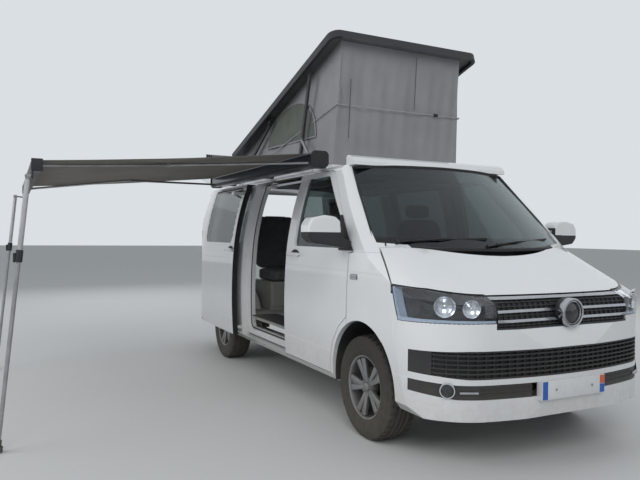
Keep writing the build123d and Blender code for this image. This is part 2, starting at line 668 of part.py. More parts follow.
with BuildPart() as steering_wheel:
    with BuildSketch(Plane(origin=WHEEL_HUB, x_dir=(0, 0.45, 0.89), z_dir=(1, 0, 0))):
        with Locations((182, 0)):
            Circle(15)
    revolve(axis=Axis(WHEEL_HUB, (0, -0.89, 0.45)))
    add(rod(WHEEL_HUB, (WHEEL_HUB[0], 300, 1034), 30))
    with Locations(WHEEL_HUB):
        Box(360, 30, 50)
    add(slab(0, 1000, 0, 330, 905, 1215), mode=Mode.SUBTRACT)
keep(steering_wheel.part, "steering_wheel")

with BuildPart() as front_seats:
    for x in (-400, 400):
        add(slab(x - 190, x + 190, 780, 1130, FLOOR_Z, 850))
        add(slab(x - 250, x + 250, 700, 1200, 850, 980))
        add(side_prism([(1080, 980), (1200, 980), (1290, 1500), (1200, 1500)], x - 240, x + 240))
        add(side_prism([(1205, 1500), (1285, 1500), (1300, 1640), (1235, 1640)], x - 130, x + 130))
keep(front_seats.part, "front_seats")

with BuildPart() as rear_bench:
    add(slab(-600, 470, 2420, 2960, FLOOR_Z, 860))
    add(slab(-600, 470, 2400, 2960, 860, 985))
    add(side_prism([(2840, 985), (2960, 985), (3040, 1560), (2940, 1560)], -600, 470))
keep(rear_bench.part, "rear_bench")

with BuildPart() as kitchen_unit:
    add(cabin)
    add(slab(480, 1000, 1380, 2360, FLOOR_Z, 1180), mode=Mode.INTERSECT)
keep(kitchen_unit.part, "kitchen_unit")

# Chassis, engine and exhaust under the floor

with BuildPart() as chassis_half:
    add(slab(400, 470, -790, 3850, 430, 515))
    add(slab(400, 470, -60, 60, 170, 515))
    add(slab(400, 470, 2940, 3060, 310, 515))
    for z in (178, 478):
        add(slab(460, 800, -28, 28, z, z + 30))
    add(slab(460, 700, 2965, 3035, 318, 368))
    add(rod((690, WHEELBASE, TYRE_R), (868, WHEELBASE, TYRE_R), SPINDLE_R))
    for z in (178, 478):
        with Locations((KINGPIN_X, 0, z + 15)):
            Cylinder(PIN_R + 2 + RUNNING, 40, mode=Mode.SUBTRACT)

with BuildPart() as chassis_frame:
    add(chassis_half.part)
    mirror(about=Plane.YZ)
    for y in (-780, 1500, 3700):
        add(slab(-470, 470, y, y + 60, 430, 515))
    add(slab(-470, 470, -560, -260, 290, 330))
    for x in (-470, 430):
        add(slab(x, x + 40, -560, -260, 290, 515))
keep(chassis_frame.part, "chassis_frame")

with BuildPart() as engine_block:
    add(slab(-330, 330, -600, -190, 330, 880))
keep(engine_block.part, "engine_block")

with BuildPart() as exhaust_system:
    add(rod((-200, 300, 400), (-200, 3940, 400), 28))
    add(slab(-330, -70, 3150, 3640, 330, 470))
    for y in (700, 2300, 3400):
        add(slab(-210, -190, y, y + 30, 400, 515))
keep(exhaust_system.part, "exhaust_system")

# Steering knuckles, rims and tyres

for side, name in ((1, "left"), (-1, "right")):
    with BuildPart() as knuckle:
        with Locations((side * KINGPIN_X, 0, TYRE_R)):
            Cylinder(24, 268)
            Cylinder(PIN_R + 2, 326)
        add(rod((side * KINGPIN_X, 0, TYRE_R), (side * 868, 0, TYRE_R), SPINDLE_R))
    keep(knuckle.part, "knuckle_" + name)

with BuildPart() as tyre:
    with BuildSketch(Plane.XZ):
        with BuildLine():
            Polyline((-94.7, RIM_R), (-94.7, 214), (-104, 245), (-107.5, 275))
            ThreePointArc((-107.5, 275), (-104, 315), (-90, 338))
            Polyline((-90, 338), (-70, TYRE_R), (70, TYRE_R), (90, 338))
            ThreePointArc((90, 338), (104, 315), (107.5, 275))
            Polyline((107.5, 275), (104, 245), (94.7, 214), (94.7, RIM_R), (-94.7, RIM_R))
        make_face()
    revolve(axis=Axis.X)

with BuildPart() as rim:
    with BuildSketch(Plane.XZ):
        with BuildLine():
            Polyline((-98, RIM_R - 14), (-98, RIM_R + 8), (-95, RIM_R + 8), (-95, RIM_R), (95, RIM_R),
                     (95, RIM_R + 8), (98, RIM_R + 8), (98, RIM_R - 14), close=True)
        make_face()
    revolve(axis=Axis.X)
    with BuildSketch(Plane.YZ.offset(52)):
        with PolarLocations(0, 10):
            with Locations((115, 0)):
                Rectangle(160, 36)
        Circle(72)
    extrude(amount=22)
    with Locations((50, 0, 0)):
        Cylinder(60, 50, rotation=(0, 90, 0))
    with Locations((45, 0, 0)):
        Cylinder(SPINDLE_R + RUNNING, 62, rotation=(0, 90, 0), mode=Mode.SUBTRACT)

for side, y, name in (
    (1, 0, "front_left"),
    (-1, 0, "front_right"),
    (1, WHEELBASE, "rear_left"),
    (-1, WHEELBASE, "rear_right"),
):
    place = Location((side * WHEEL_X, y, TYRE_R), (0, 0, 0 if side > 0 else 180))
    keep(place * rim.part, "rim_" + name)
    keep(place * tyre.part, "tyre_" + name)

# Lift-up roof

roof_slope = atan2(ROOF_FRONT[1] - ROOF_REAR[1], ROOF_REAR[0] - ROOF_FRONT[0])
ROOF_LENGTH = hypot(ROOF_FRONT[1] - ROOF_REAR[1], ROOF_REAR[0] - ROOF_FRONT[0])
roof_place = Location((0, ROOF_FRONT[0], ROOF_FRONT[1]), (-degrees(roof_slope), 0, 0))

with BuildPart() as roof_shell:
    with BuildSketch(Plane.XY.offset(-ROOF_EDGE)):
        with Locations((0, ROOF_LENGTH / 2)):
            RectangleRounded(2 * ROOF_HALF, ROOF_LENGTH, 90)
    extrude(amount=ROOF_EDGE)
    with BuildSketch(Plane.XY.offset(-ROOF_EDGE)):
        with Locations((0, ROOF_LENGTH / 2)):
            RectangleRounded(2 * ROOF_HALF - 56, ROOF_LENGTH - 60, 70)
    extrude(amount=ROOF_EDGE - ROOF_SKIN, mode=Mode.SUBTRACT)
    for side in (-1, 1):
        with Locations((side * (LINK_X + 22), LINK_REACH, -62)):
            Box(14, 60, 78)
        with Locations((side * (LINK_X + 8), LINK_REACH, -LINK_DROP)):
            Cylinder(PIN_R, 44, rotation=(0, 90, 0))
keep(roof_place * roof_shell.part, "pop_up_roof")

pivot = roof_place * Location((0, LINK_REACH, -LINK_DROP))
link_top = (pivot.position.Y, pivot.position.Z)
LINK = (link_top[1] - RAIL_Z) / sin(radians(LINK_ANGLE))
link_foot = (link_top[0] + LINK * cos(radians(LINK_ANGLE)), RAIL_Z)


def flat_bar(foot, top, x, width, thickness):
    """A flat link with rounded ends and a pin hole at each end, on the left side."""
    run = top[0] - foot[0]
    rise = top[1] - foot[1]
    plane = Plane(origin=(x - thickness / 2, foot[0], foot[1]), x_dir=(0, run, rise), z_dir=(1, 0, 0))
    with BuildPart() as bar:
        with BuildSketch(plane):
            with Locations((hypot(run, rise) / 2, 0)):
                SlotCenterToCenter(hypot(run, rise), width)
            with Locations((0, 0), (hypot(run, rise), 0)):
                Circle(PIN_R + RUNNING, mode=Mode.SUBTRACT)
        extrude(amount=thickness)
    return bar.part


with BuildPart() as roof_rear_links:
    add(flat_bar(link_foot, link_top, LINK_X, 34, 20))
    mirror(about=Plane.YZ)
keep(roof_rear_links.part, "roof_rear_links")

lean = radians(LIFT_ARM_LEAN)
arm_top = (LIFT_ARM_Y - LIFT_ARM * sin(lean), RAIL_Z + LIFT_ARM * cos(lean))
with BuildPart() as roof_lift_arms:
    add(flat_bar((LIFT_ARM_Y, RAIL_Z), arm_top, ARM_X, 34, 20))
    mirror(about=Plane.YZ)
keep(roof_lift_arms.part, "roof_lift_arms")

stay_top = (STAY_FOOT_Y + STAY * cos(radians(STAY_ANGLE)), RAIL_Z + STAY * sin(radians(STAY_ANGLE)))
with BuildPart() as roof_stays:
    add(flat_bar((STAY_FOOT_Y, RAIL_Z), stay_top, STAY_X, 26, 14))
    mirror(about=Plane.YZ)
keep(roof_stays.part, "roof_stays")


def under_roof(y):
    """Height of the roof panel's underside at a station."""
    return ROOF_FRONT[1] - (y - ROOF_FRONT[0]) * tan(roof_slope) - ROOF_SKIN / cos(roof_slope)


def outline(half, front, rear):
    """A rectangle across the van between two stations."""
    with BuildLine() as line:
        Polyline((-half, front), (half, front), (half, rear), (-half, rear), close=True)
    return line.line


def tent(half_low, half_top, y_low, y_top, rear_low, rear_top, drop, below=0):
    """Fabric wedge between the body's roof and the raised roof."""
    slant = (0, sin(roof_slope), cos(roof_slope))
    under_panel = Plane(origin=(0, 0, under_roof(0) - drop), x_dir=(1, 0, 0), z_dir=slant)
    with BuildPart() as wedge:
        with BuildSketch(Plane.XY.offset(RAIL_Z + 2 - below)):
            with BuildLine():
                add(outline(half_low, y_low, rear_low))
            make_face()
        with BuildSketch(under_panel):
            with BuildLine():
                add(outline(half_top, y_top / cos(roof_slope), rear_top / cos(roof_slope)))
            make_face()
        loft(ruled=True)
    return wedge.part


with BuildPart() as roof_bellows:
    add(tent(640, 612, 1000, 930, 3180, 3200, 0.3))
    add(tent(636, 608, 1004, 934, 3176, 3196, -2, 2), mode=Mode.SUBTRACT)
keep(roof_bellows.part, "roof_bellows")

# Awning on the right side: case, fabric, lead rail, arms and telescopic legs

with BuildPart() as awning_case:
    add(slab(CASE_X, CASE_X + 135, AWNING_FRONT, AWNING_REAR, 1876, 1990))
    for y in (900, 1990, 3080):
        add(slab(CASE_X + 130, -700, y - 40, y + 40, 1884, 1912))
    add(outer, mode=Mode.SUBTRACT)
keep(awning_case.part, "awning_case")

with BuildPart() as awning_fabric:
    with BuildSketch(Plane.XZ.offset(-AWNING_FRONT - 20)):
        with BuildLine():
            Polyline((CASE_X - 0.3, 1972), (LEAD_X + 30, LEAD_Z + 2), (LEAD_X + 30, LEAD_Z + 5),
                     (CASE_X - 0.3, 1975), close=True)
        make_face()
    extrude(amount=-(AWNING_REAR - AWNING_FRONT - 40))
keep(awning_fabric.part, "awning_fabric")

with BuildPart() as awning_lead_rail:
    add(slab(LEAD_X - 30, LEAD_X + 29.7, AWNING_FRONT, AWNING_REAR, LEAD_Z - 62, LEAD_Z + 8))
    for y, step in ((AWNING_FRONT + 16, 0), (AWNING_REAR - 16, LEG_STEP)):
        add(slab(LEAD_X - 30, LEAD_X - 20, y - 16, y + 16, LEG_PIVOT_Z - 16, LEAD_Z - 60))
        pin_root = (LEAD_X - 22, y, LEG_PIVOT_Z - 2.7 - step * 0.095)
        add(rod(pin_root, (LEAD_X - 68 - step, y, LEG_PIVOT_Z + 1.7), 6))
keep(awning_lead_rail.part, "awning_lead_rail")

with BuildPart() as awning_arms:
    for y, turn in ((AWNING_FRONT + 60, 1), (AWNING_REAR - 60, -1)):
        elbow = (-1960, y + turn * 420, 1871)
        add(rod((CASE_X + 10, y, 1905), elbow, 10))
        add(rod(elbow, (LEAD_X + 20, y, 1775), 10))
        with Locations(elbow):
            Cylinder(22, 20)
    add(awning_case.part, mode=Mode.SUBTRACT)
    add(awning_lead_rail.part, mode=Mode.SUBTRACT)
keep(awning_arms.part, "awning_arms")

for y, step, name in ((AWNING_FRONT + 16, 0, "front"), (AWNING_REAR - 16, LEG_STEP, "rear")):
    top = Vector(LEAD_X - 50 - step, y, LEG_PIVOT_Z)
    foot = Vector(FOOT_X - step, y, 2)
    along = (foot - top).normalized()
    pin = Vector(-along.Z, 0, along.X)
    with BuildPart() as leg:
        add(rod(tuple(top), tuple(foot - along * 6), 13))
        add(rod(tuple(foot - along * 20), tuple(foot - along * 3), 28))
        add(rod(tuple(top - pin * 15), tuple(top + pin * 15), 15))
        add(rod(tuple(top - pin * 20), tuple(top + pin * 20), 6 + RUNNING), mode=Mode.SUBTRACT)
    keep(leg.part, "awning_leg_" + name)

# The whole van is moved so that the middle of its footprint is the origin, and each piece is saved

extent = Compound(children=[Part(piece.wrapped) for piece in pieces]).bounding_box()
footprint_centre = Location((-extent.center().X, -extent.center().Y, -extent.min.Z))
for piece in pieces:
    placed = footprint_centre * piece
    placed.label = piece.label
    export_step(placed, "parts/" + piece.label + ".step")
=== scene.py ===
from math import atan2, copysign, cos, exp, hypot, pi, radians, sin, sqrt

import bpy
from mathutils import Matrix, Vector, noise
from mathutils.bvhtree import BVHTree


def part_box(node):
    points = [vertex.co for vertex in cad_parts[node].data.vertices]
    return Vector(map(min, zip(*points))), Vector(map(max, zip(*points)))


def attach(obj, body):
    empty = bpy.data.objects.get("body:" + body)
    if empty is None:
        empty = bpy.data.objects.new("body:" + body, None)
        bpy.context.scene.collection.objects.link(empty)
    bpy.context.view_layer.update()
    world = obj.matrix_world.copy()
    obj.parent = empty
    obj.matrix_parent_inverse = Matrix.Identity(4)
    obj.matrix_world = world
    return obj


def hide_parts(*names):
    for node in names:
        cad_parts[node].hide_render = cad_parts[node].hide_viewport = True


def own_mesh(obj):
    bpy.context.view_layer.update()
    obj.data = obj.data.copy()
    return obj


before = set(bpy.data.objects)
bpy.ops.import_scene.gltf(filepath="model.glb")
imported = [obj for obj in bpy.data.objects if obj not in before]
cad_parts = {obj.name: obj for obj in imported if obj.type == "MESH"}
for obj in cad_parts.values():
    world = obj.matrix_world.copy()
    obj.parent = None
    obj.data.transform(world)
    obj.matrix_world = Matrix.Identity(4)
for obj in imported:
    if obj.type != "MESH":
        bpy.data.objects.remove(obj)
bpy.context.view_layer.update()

# Camera: it stands by the van's right front corner at shoulder height and looks almost level.
# Sizes are in metres from the front axle's middle, on the ground: x to the van's left, y to its tail.
HALF_TRACK = 0.814
hub_low, hub_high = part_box("tyre_front_left")
FRONT_AXLE = Vector(((hub_low.x + hub_high.x) / 2 - HALF_TRACK, (hub_low.y + hub_high.y) / 2, 0))
bpy.ops.object.select_all(action="DESELECT")
bpy.ops.object.camera_add(location=FRONT_AXLE + Vector((-3.04, -3.562, 1.358)),
                          rotation=(radians(89.48), radians(-0.63), radians(-26.65)))
photo_camera = bpy.context.object
photo_camera.data.lens = 34.99
photo_camera.data.sensor_width = 36
photo_camera.data.clip_end = 200
bpy.context.scene.camera = photo_camera


# Studio: a pale floor and a pale surround, lit by an even sky, a broad soft lamp over the nose
# and weaker ones over the side door, the far side and the tail.
def node(tree, kind, settings=(), **values):
    """A shader node with its settings and the values of its named inputs."""
    made = tree.nodes.new("ShaderNode" + kind)
    for label, value in settings:
        setattr(made, label, value)
    for label, value in values.items():
        made.inputs[label.replace("_", " ")].default_value = value
    return made


def wire(tree, *runs):
    """Joins sockets, each run being (node, its output, node, its input)."""
    for source, leaving, target, entering in runs:
        tree.links.new(source.outputs[leaving], target.inputs[entering])


bpy.context.scene.view_settings.view_transform = "Standard"
bpy.ops.mesh.primitive_plane_add(size=120, location=(0, 0, 0))
studio_floor = bpy.context.object
studio_floor.name = "studio_floor"
floor_paint = bpy.data.materials.new("studio_floor")
floor_paint.use_nodes = True
floor_shader = floor_paint.node_tree.nodes["Principled BSDF"]
floor_shader.inputs["Base Color"].default_value = (0.62, 0.62, 0.61, 1)
floor_shader.inputs["Roughness"].default_value = 0.9
studio_floor.data.materials.append(floor_paint)

surround = bpy.data.worlds.new("studio_surround")
bpy.context.scene.world = surround
surround.use_nodes = True
sky = surround.node_tree
even_sky = sky.nodes["Background"]
even_sky.inputs["Color"].default_value = (0.86, 0.93, 1.0, 1)
even_sky.inputs["Strength"].default_value = 0.42
seen_sky = node(sky, "Background", Color=(0.80, 0.84, 0.88, 1), Strength=0.88)
ray = node(sky, "LightPath")
seen = node(sky, "Math", (("operation", "MAXIMUM"),))
seen_through = node(sky, "Math", (("operation", "MAXIMUM"),))
either = node(sky, "MixShader")
wire(
    sky, (ray, "Is Camera Ray", seen, 0), (ray, "Is Glossy Ray", seen, 1), (seen, 0, seen_through, 0),
    (ray, "Is Transmission Ray", seen_through, 1), (seen_through, 0, either, "Fac"),
    (even_sky, 0, either, 1), (seen_sky, 0, either, 2), (either, 0, sky.nodes["World Output"], "Surface"))

LAMP_SIZE = 5.0
for lamp_name, place, aim, power in (
    ("nose_lamp", (-4.5, -7.0, 6.5), (0, 0.5, 1.0), 300),
    ("door_lamp", (-8.0, 1.0, 4.5), (0, 1.5, 1.0), 190),
    ("far_lamp", (7.0, 3.0, 6.0), (0, 1.5, 1.0), 170),
    ("tail_lamp_far", (-1.0, 10.5, 5.5), (0, 2.0, 1.2), 150),
):
    bpy.ops.object.light_add(type="AREA", location=FRONT_AXLE + Vector(place))
    soft_lamp = bpy.context.object
    soft_lamp.name = lamp_name
    soft_lamp.data.energy = power
    soft_lamp.data.size = LAMP_SIZE
    soft_lamp.visible_glossy = False
    soft_lamp.rotation_euler = (Vector(aim) - Vector(place)).to_track_quat("-Z", "Y").to_euler()


# Painted body: pressed steel panels in gloss white, sprayed and lacquered, with fine road dust
# on the sills and a slight unevenness in the lacquer.
def effect_group(name, inputs, outputs):
    """A node group with named sockets, and its two ends."""
    group = bpy.data.node_groups.new(name, "ShaderNodeTree")
    for label, kind, value in inputs:
        socket = group.interface.new_socket(name=label, in_out="INPUT", socket_type="NodeSocket" + kind)
        if value is not None:
            socket.default_value = value
    for label, kind in outputs:
        group.interface.new_socket(name=label, in_out="OUTPUT", socket_type="NodeSocket" + kind)
    return group, group.nodes.new("NodeGroupInput"), group.nodes.new("NodeGroupOutput")


POSITION = ("Position", "Vector", None)
MOTTLE, mottle_in, mottle_out = effect_group(
    "uneven_colour",
    (POSITION, ("Scale", "Float", 5.0), ("Colour", "Color", (1, 1, 1, 1)), ("Shade", "Color", (1, 1, 1, 1)),
     ("Roughness", "Float", 0.5), ("Spread", "Float", 0.1)),
    (("Colour", "Color"), ("Roughness", "Float")))
cloud = node(MOTTLE, "TexNoise", Detail=5.0, Roughness=0.6)
stretch = node(MOTTLE, "MapRange", From_Min=0.32, From_Max=0.68)
blend = node(MOTTLE, "Mix", (("data_type", "RGBA"),))
rougher = node(MOTTLE, "Math", (("operation", "MULTIPLY_ADD"),))
wire(
    MOTTLE, (mottle_in, "Position", cloud, "Vector"), (mottle_in, "Scale", cloud, "Scale"),
    (cloud, "Fac", stretch, "Value"), (stretch, "Result", blend, "Factor"),
    (mottle_in, "Colour", blend, "A"), (mottle_in, "Shade", blend, "B"),
    (blend, "Result", mottle_out, "Colour"), (stretch, "Result", rougher, 0),
    (mottle_in, "Spread", rougher, 1), (mottle_in, "Roughness", rougher, 2),
    (rougher, "Value", mottle_out, "Roughness"))

DUST, dust_in, dust_out = effect_group(
    "road_dust", (POSITION, ("Colour", "Color", (1, 1, 1, 1)), ("Dust", "Color", (0.3, 0.26, 0.2, 1)),
    ("Top", "Float", 0.6), ("Amount", "Float", 0.3), ("Roughness", "Float", 0.3)),
    (("Colour", "Color"), ("Roughness", "Float")))
height = node(DUST, "SeparateXYZ")
fade = node(DUST, "MapRange", To_Min=1.0, To_Max=0.0)
specks = node(DUST, "TexNoise", Scale=22.0, Detail=8.0, Roughness=0.7)
cover = node(DUST, "Math", (("operation", "MULTIPLY"),))
settled = node(DUST, "Math", (("operation", "MULTIPLY"), ("use_clamp", True)))
film = node(DUST, "Mix", (("data_type", "RGBA"),))
dull = node(DUST, "Mix", B=0.95)
wire(
    DUST, (dust_in, "Position", height, 0), (height, "Z", fade, "Value"),
    (dust_in, "Top", fade, "From Max"), (dust_in, "Position", specks, "Vector"), (fade, "Result", cover, 0),
    (specks, "Fac", cover, 1), (cover, "Value", settled, 0), (dust_in, "Amount", settled, 1),
    (settled, "Value", film, "Factor"), (dust_in, "Colour", film, "A"), (dust_in, "Dust", film, "B"),
    (film, "Result", dust_out, "Colour"), (settled, "Value", dull, "Factor"),
    (dust_in, "Roughness", dull, "A"), (dull, "Result", dust_out, "Roughness"))

GRAIN, grain_in, grain_out = effect_group(
    "fine_grain", (POSITION, ("Scale", "Float", 400.0)), (("Height", "Float"),))
pebbles = node(GRAIN, "TexNoise", Detail=3.0)
wire(GRAIN, (grain_in, "Position", pebbles, "Vector"), (grain_in, "Scale", pebbles, "Scale"),
     (pebbles, "Fac", grain_out, "Height"))


def finish(name, colour, shade, roughness, spread, scale, grain, relief, metallic=0.0, coat=0.0,
           dust=0.0, top=0.6):
    """A material. Its colour runs to a shade and its roughness up by a
    spread, in patches of a scale; a grain of its own scale has a relief; dust settles below a top."""
    material = bpy.data.materials.new(name)
    material.use_nodes = True
    tree = material.node_tree
    shader = tree.nodes["Principled BSDF"]
    shader.inputs["Metallic"].default_value = metallic
    shader.inputs["Coat Weight"].default_value = coat
    shader.inputs["Coat Roughness"].default_value = 0.04
    place = node(tree, "TexCoord")
    worn = node(
        tree, "Group", (("node_tree", MOTTLE),), Scale=scale, Colour=(*colour, 1), Shade=(*shade, 1),
        Roughness=roughness, Spread=spread)
    wire(tree, (place, "Object", worn, "Position"))
    if dust:
        mottle = worn
        worn = node(tree, "Group", (("node_tree", DUST),), Top=top, Amount=dust)
        wire(tree, (place, "Object", worn, "Position"), (mottle, "Colour", worn, "Colour"),
             (mottle, "Roughness", worn, "Roughness"))
    fine = node(tree, "Group", (("node_tree", GRAIN),), Scale=grain)
    bump = node(tree, "Bump", Strength=relief, Distance=0.002)
    wire(
        tree, (worn, "Colour", shader, "Base Color"), (worn, "Roughness", shader, "Roughness"),
        (place, "Object", fine, "Position"), (fine, "Height", bump, "Height"),
        (bump, "Normal", shader, "Normal"))
    return material


def dress(material, *names):
    """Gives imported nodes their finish."""
    for name in names:
        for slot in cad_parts[name].material_slots:
            slot.material = material


white_paint = finish(
    "white_lacquer", (0.80, 0.81, 0.81), (0.76, 0.77, 0.78), 0.30, 0.06, 1.3, 160, 0.03,
    coat=1.0, dust=0.9, top=0.75)
dress(
    white_paint, "side_wall_left", "side_wall_right", "roof_frame", "front_wings", "front_bumper",
    "rear_bumper", "bonnet", "front_door_left", "front_door_right", "sliding_door", "tailgate")

# Pressed creases: two lines stamped into the steel along both body sides, one below the windows
# and one above the sill, shown as steps in the paint's relief.
CREASE, crease_in, crease_out = effect_group(
    "pressed_creases", (POSITION, ("Grain", "Float", 0.5)), (("Height", "Float"),))
from_axle = node(CREASE, "VectorMath", (("operation", "SUBTRACT"),))
from_axle.inputs[1].default_value = FRONT_AXLE
parts_of = node(CREASE, "SeparateXYZ")
sideways = node(CREASE, "Math", (("operation", "ABSOLUTE"),))
SMOOTH_STEP = (("interpolation_type", "SMOOTHSTEP"),)
on_side = node(CREASE, "MapRange", SMOOTH_STEP, From_Min=0.885, From_Max=0.915)
total = node(CREASE, "Math", (("operation", "MULTIPLY"),))
total.inputs[1].default_value = 0.03
wire(
    CREASE, (crease_in, "Position", from_axle, 0), (from_axle, "Vector", parts_of, 0),
    (parts_of, "X", sideways, 0), (sideways, "Value", on_side, "Value"), (crease_in, "Grain", total, 0))
for low, high, depth in ((1.096, 1.116, 1.0), (0.512, 0.528, -0.8)):
    step_up = node(CREASE, "MapRange", SMOOTH_STEP, From_Min=low, From_Max=high, To_Max=depth)
    held = node(CREASE, "Math", (("operation", "MULTIPLY"),))
    summed = node(CREASE, "Math", (("operation", "ADD"),))
    wire(
        CREASE, (parts_of, "Z", step_up, "Value"), (step_up, "Result", held, 0),
        (on_side, "Result", held, 1), (total, "Value", summed, 0), (held, "Value", summed, 1))
    total = summed
wire(CREASE, (total, "Value", crease_out, "Height"))
paint_tree = white_paint.node_tree
paint_bump = paint_tree.nodes["Bump"]
pressed = node(paint_tree, "Group", (("node_tree", CREASE),))
paint_tree.links.new(paint_bump.inputs["Height"].links[0].from_socket, pressed.inputs["Grain"])
wire(paint_tree, (paint_tree.nodes["Texture Coordinate"], "Object", pressed, "Position"),
     (pressed, "Height", paint_bump, "Height"))
paint_bump.inputs["Strength"].default_value = 0.5
paint_bump.inputs["Distance"].default_value = 0.006

# Plastics, metals and floor: grained black mouldings, pale cabin trim, red lamp lenses, dark steel
# under the body, satin alloy and the dark shell of the roof panel.
black_plastic = finish(
    "black_grained_plastic", (0.018, 0.018, 0.020), (0.030, 0.030, 0.032), 0.46, 0.14, 9,
    700, 0.25, dust=0.5, top=0.7)
cabin_plastic = finish(
    "pale_cabin_trim", (0.42, 0.41, 0.39), (0.36, 0.35, 0.33), 0.55, 0.12, 6, 500, 0.3)
under_steel = finish(
    "underbody_steel", (0.035, 0.034, 0.033), (0.075, 0.065, 0.055), 0.6, 0.25, 7, 200, 0.5,
    metallic=0.5, dust=1.2, top=0.8)
red_lens = finish(
    "red_lamp_lens", (0.36, 0.008, 0.01), (0.24, 0.004, 0.006), 0.12, 0.05, 20, 90, 0.1,
    coat=1.0)
silver_alloy = finish(
    "satin_silver_alloy", (0.42, 0.42, 0.43), (0.34, 0.34, 0.35), 0.33, 0.14, 12, 500, 0.1,
    metallic=0.9, dust=0.5, top=0.6)
dark_shell = finish(
    "dark_roof_shell", (0.022, 0.023, 0.026), (0.035, 0.035, 0.038), 0.42, 0.16, 5, 300, 0.15)
dress(
    black_plastic, "cowl_panel", "dashboard", "steering_wheel", "door_mirror_left", "door_mirror_right",
    "door_seals")
dress(cabin_plastic, "floor_pan", "kitchen_unit", "rear_bench", "front_seats")
dress(under_steel, "chassis_frame", "engine_block", "exhaust_system", "knuckle_left", "knuckle_right")
dress(red_lens, "tail_lamps")
dress(silver_alloy, "rim_front_left", "rim_front_right", "rim_rear_left", "rim_rear_right", "awning_arms",
      "awning_leg_front", "awning_leg_rear", "bike_carrier", "roof_stays")
dress(dark_shell, "pop_up_roof", "roof_lift_arms", "roof_rear_links", "awning_case", "awning_lead_rail")


# Glass: laminated windscreen and tempered side panes, tinted green-grey and bonded to the body's
# flanges, and the clear covers of the lamps.
def pane(name, tint, rough=0.0):
    """A clear or tinted glass."""
    material = bpy.data.materials.new(name)
    material.use_nodes = True
    shader = material.node_tree.nodes["Principled BSDF"]
    shader.inputs["Base Color"].default_value = (*tint, 1)
    shader.inputs["Roughness"].default_value = rough
    shader.inputs["Transmission Weight"].default_value = 1.0
    shader.inputs["IOR"].default_value = 1.45
    return material


dress(pane("tinted_side_glass", (0.20, 0.25, 0.25)), "door_glass_left", "door_glass_right")
dress(pane("dark_rear_glass", (0.17, 0.19, 0.19)), "side_windows", "sliding_door_glass",
      "tailgate_glass")
dress(pane("windscreen_glass", (0.11, 0.155, 0.165)), "windscreen")
dress(pane("clear_lamp_lens", (0.96, 0.98, 1.0)), "headlamps")


# Tyres: radial road tyres with four grooves round the tread and cut shoulder blocks, moulded in
# black rubber that has gone grey with dust. Each is turned ring by ring about its axle.
def clear_bench():
    """Leaves edit mode and selects nothing."""
    if bpy.context.object and bpy.context.object.mode != "OBJECT":
        bpy.ops.object.mode_set(mode="OBJECT")
    bpy.ops.object.select_all(action="DESELECT")


def work_on(*pieces):
    """Selects only these pieces, the first one active."""
    clear_bench()
    for piece in pieces:
        piece.select_set(True)
    bpy.context.view_layer.objects.active = pieces[0]


def open_mesh(piece):
    """Goes into edit mode with all of a piece selected."""
    work_on(piece)
    bpy.ops.object.mode_set(mode="EDIT")
    bpy.ops.mesh.select_all(action="SELECT")


def close_mesh():
    """Goes back into object mode."""
    bpy.ops.object.mode_set(mode="OBJECT")


def turned(rings, sides=72):
    """A shell turned about the x axis; each ring is (distance along it, radius)."""
    clear_bench()
    bpy.ops.mesh.primitive_circle_add(vertices=sides, radius=rings[0][1], location=(rings[0][0], 0, 0),
                                      rotation=(0, pi / 2, 0))
    shell = bpy.context.object
    bpy.ops.object.transform_apply(location=True, rotation=True, scale=True)
    bpy.ops.object.mode_set(mode="EDIT")
    bpy.ops.mesh.select_mode(type="VERT")
    bpy.ops.mesh.select_all(action="SELECT")
    for (here, r), (there, s) in zip(rings, rings[1:]):
        bpy.ops.mesh.extrude_region_move(TRANSFORM_OT_translate={"value": (there - here, 0, 0)})
        bpy.ops.transform.resize(value=(1, s / r, s / r), center_override=(0, 0, 0))
    bpy.ops.mesh.select_all(action="SELECT")
    bpy.ops.mesh.remove_doubles(threshold=0.00002)
    bpy.ops.mesh.normals_make_consistent(inside=False)
    close_mesh()
    return shell


def choose_faces(piece, wanted):
    """Selects the faces for which wanted(centre, normal) holds, and goes into edit mode."""
    work_on(piece)
    bpy.ops.object.mode_set(mode="EDIT")
    bpy.ops.mesh.select_mode(type="FACE")
    bpy.ops.mesh.select_all(action="DESELECT")
    close_mesh()
    for face in piece.data.polygons:
        face.select = bool(wanted(face.center, face.normal))
    bpy.ops.object.mode_set(mode="EDIT")


def copy_of(piece, placing=Matrix()):
    """A copy of a piece with its own mesh, placed by a matrix."""
    twin = piece.copy()
    twin.data = piece.data.copy()
    bpy.context.scene.collection.objects.link(twin)
    twin.data.transform(placing)
    return twin


def facing(side):
    """Half a turn for what sits on the van's right, and none for its left."""
    return Matrix.Rotation(0 if side > 0 else pi, 4, "Z")


def on_axle(piece, side, y, turn=0.0):
    """A copy of a wheel piece on one of the four axle ends."""
    return copy_of(piece, Matrix.Translation((side * HALF_TRACK, y, TYRE_RADIUS)) @ facing(side)
                   @ Matrix.Rotation(turn, 4, "X"))


def fit(piece, name, material, *stands_for, body="van_body", slot=None, smooth=40):
    """Names a piece measured from the front axle, sets it in its place and fixes it to its body."""
    work_on(piece)
    piece.data.transform(Matrix.Translation(FRONT_AXLE))
    piece.name = name
    piece.data.name = name
    piece.data.materials.clear()
    piece.data.materials.append(material)
    bpy.ops.object.shade_smooth_by_angle(angle=radians(smooth))
    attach(piece, body)
    if stands_for:
        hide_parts(*stands_for)
    return piece


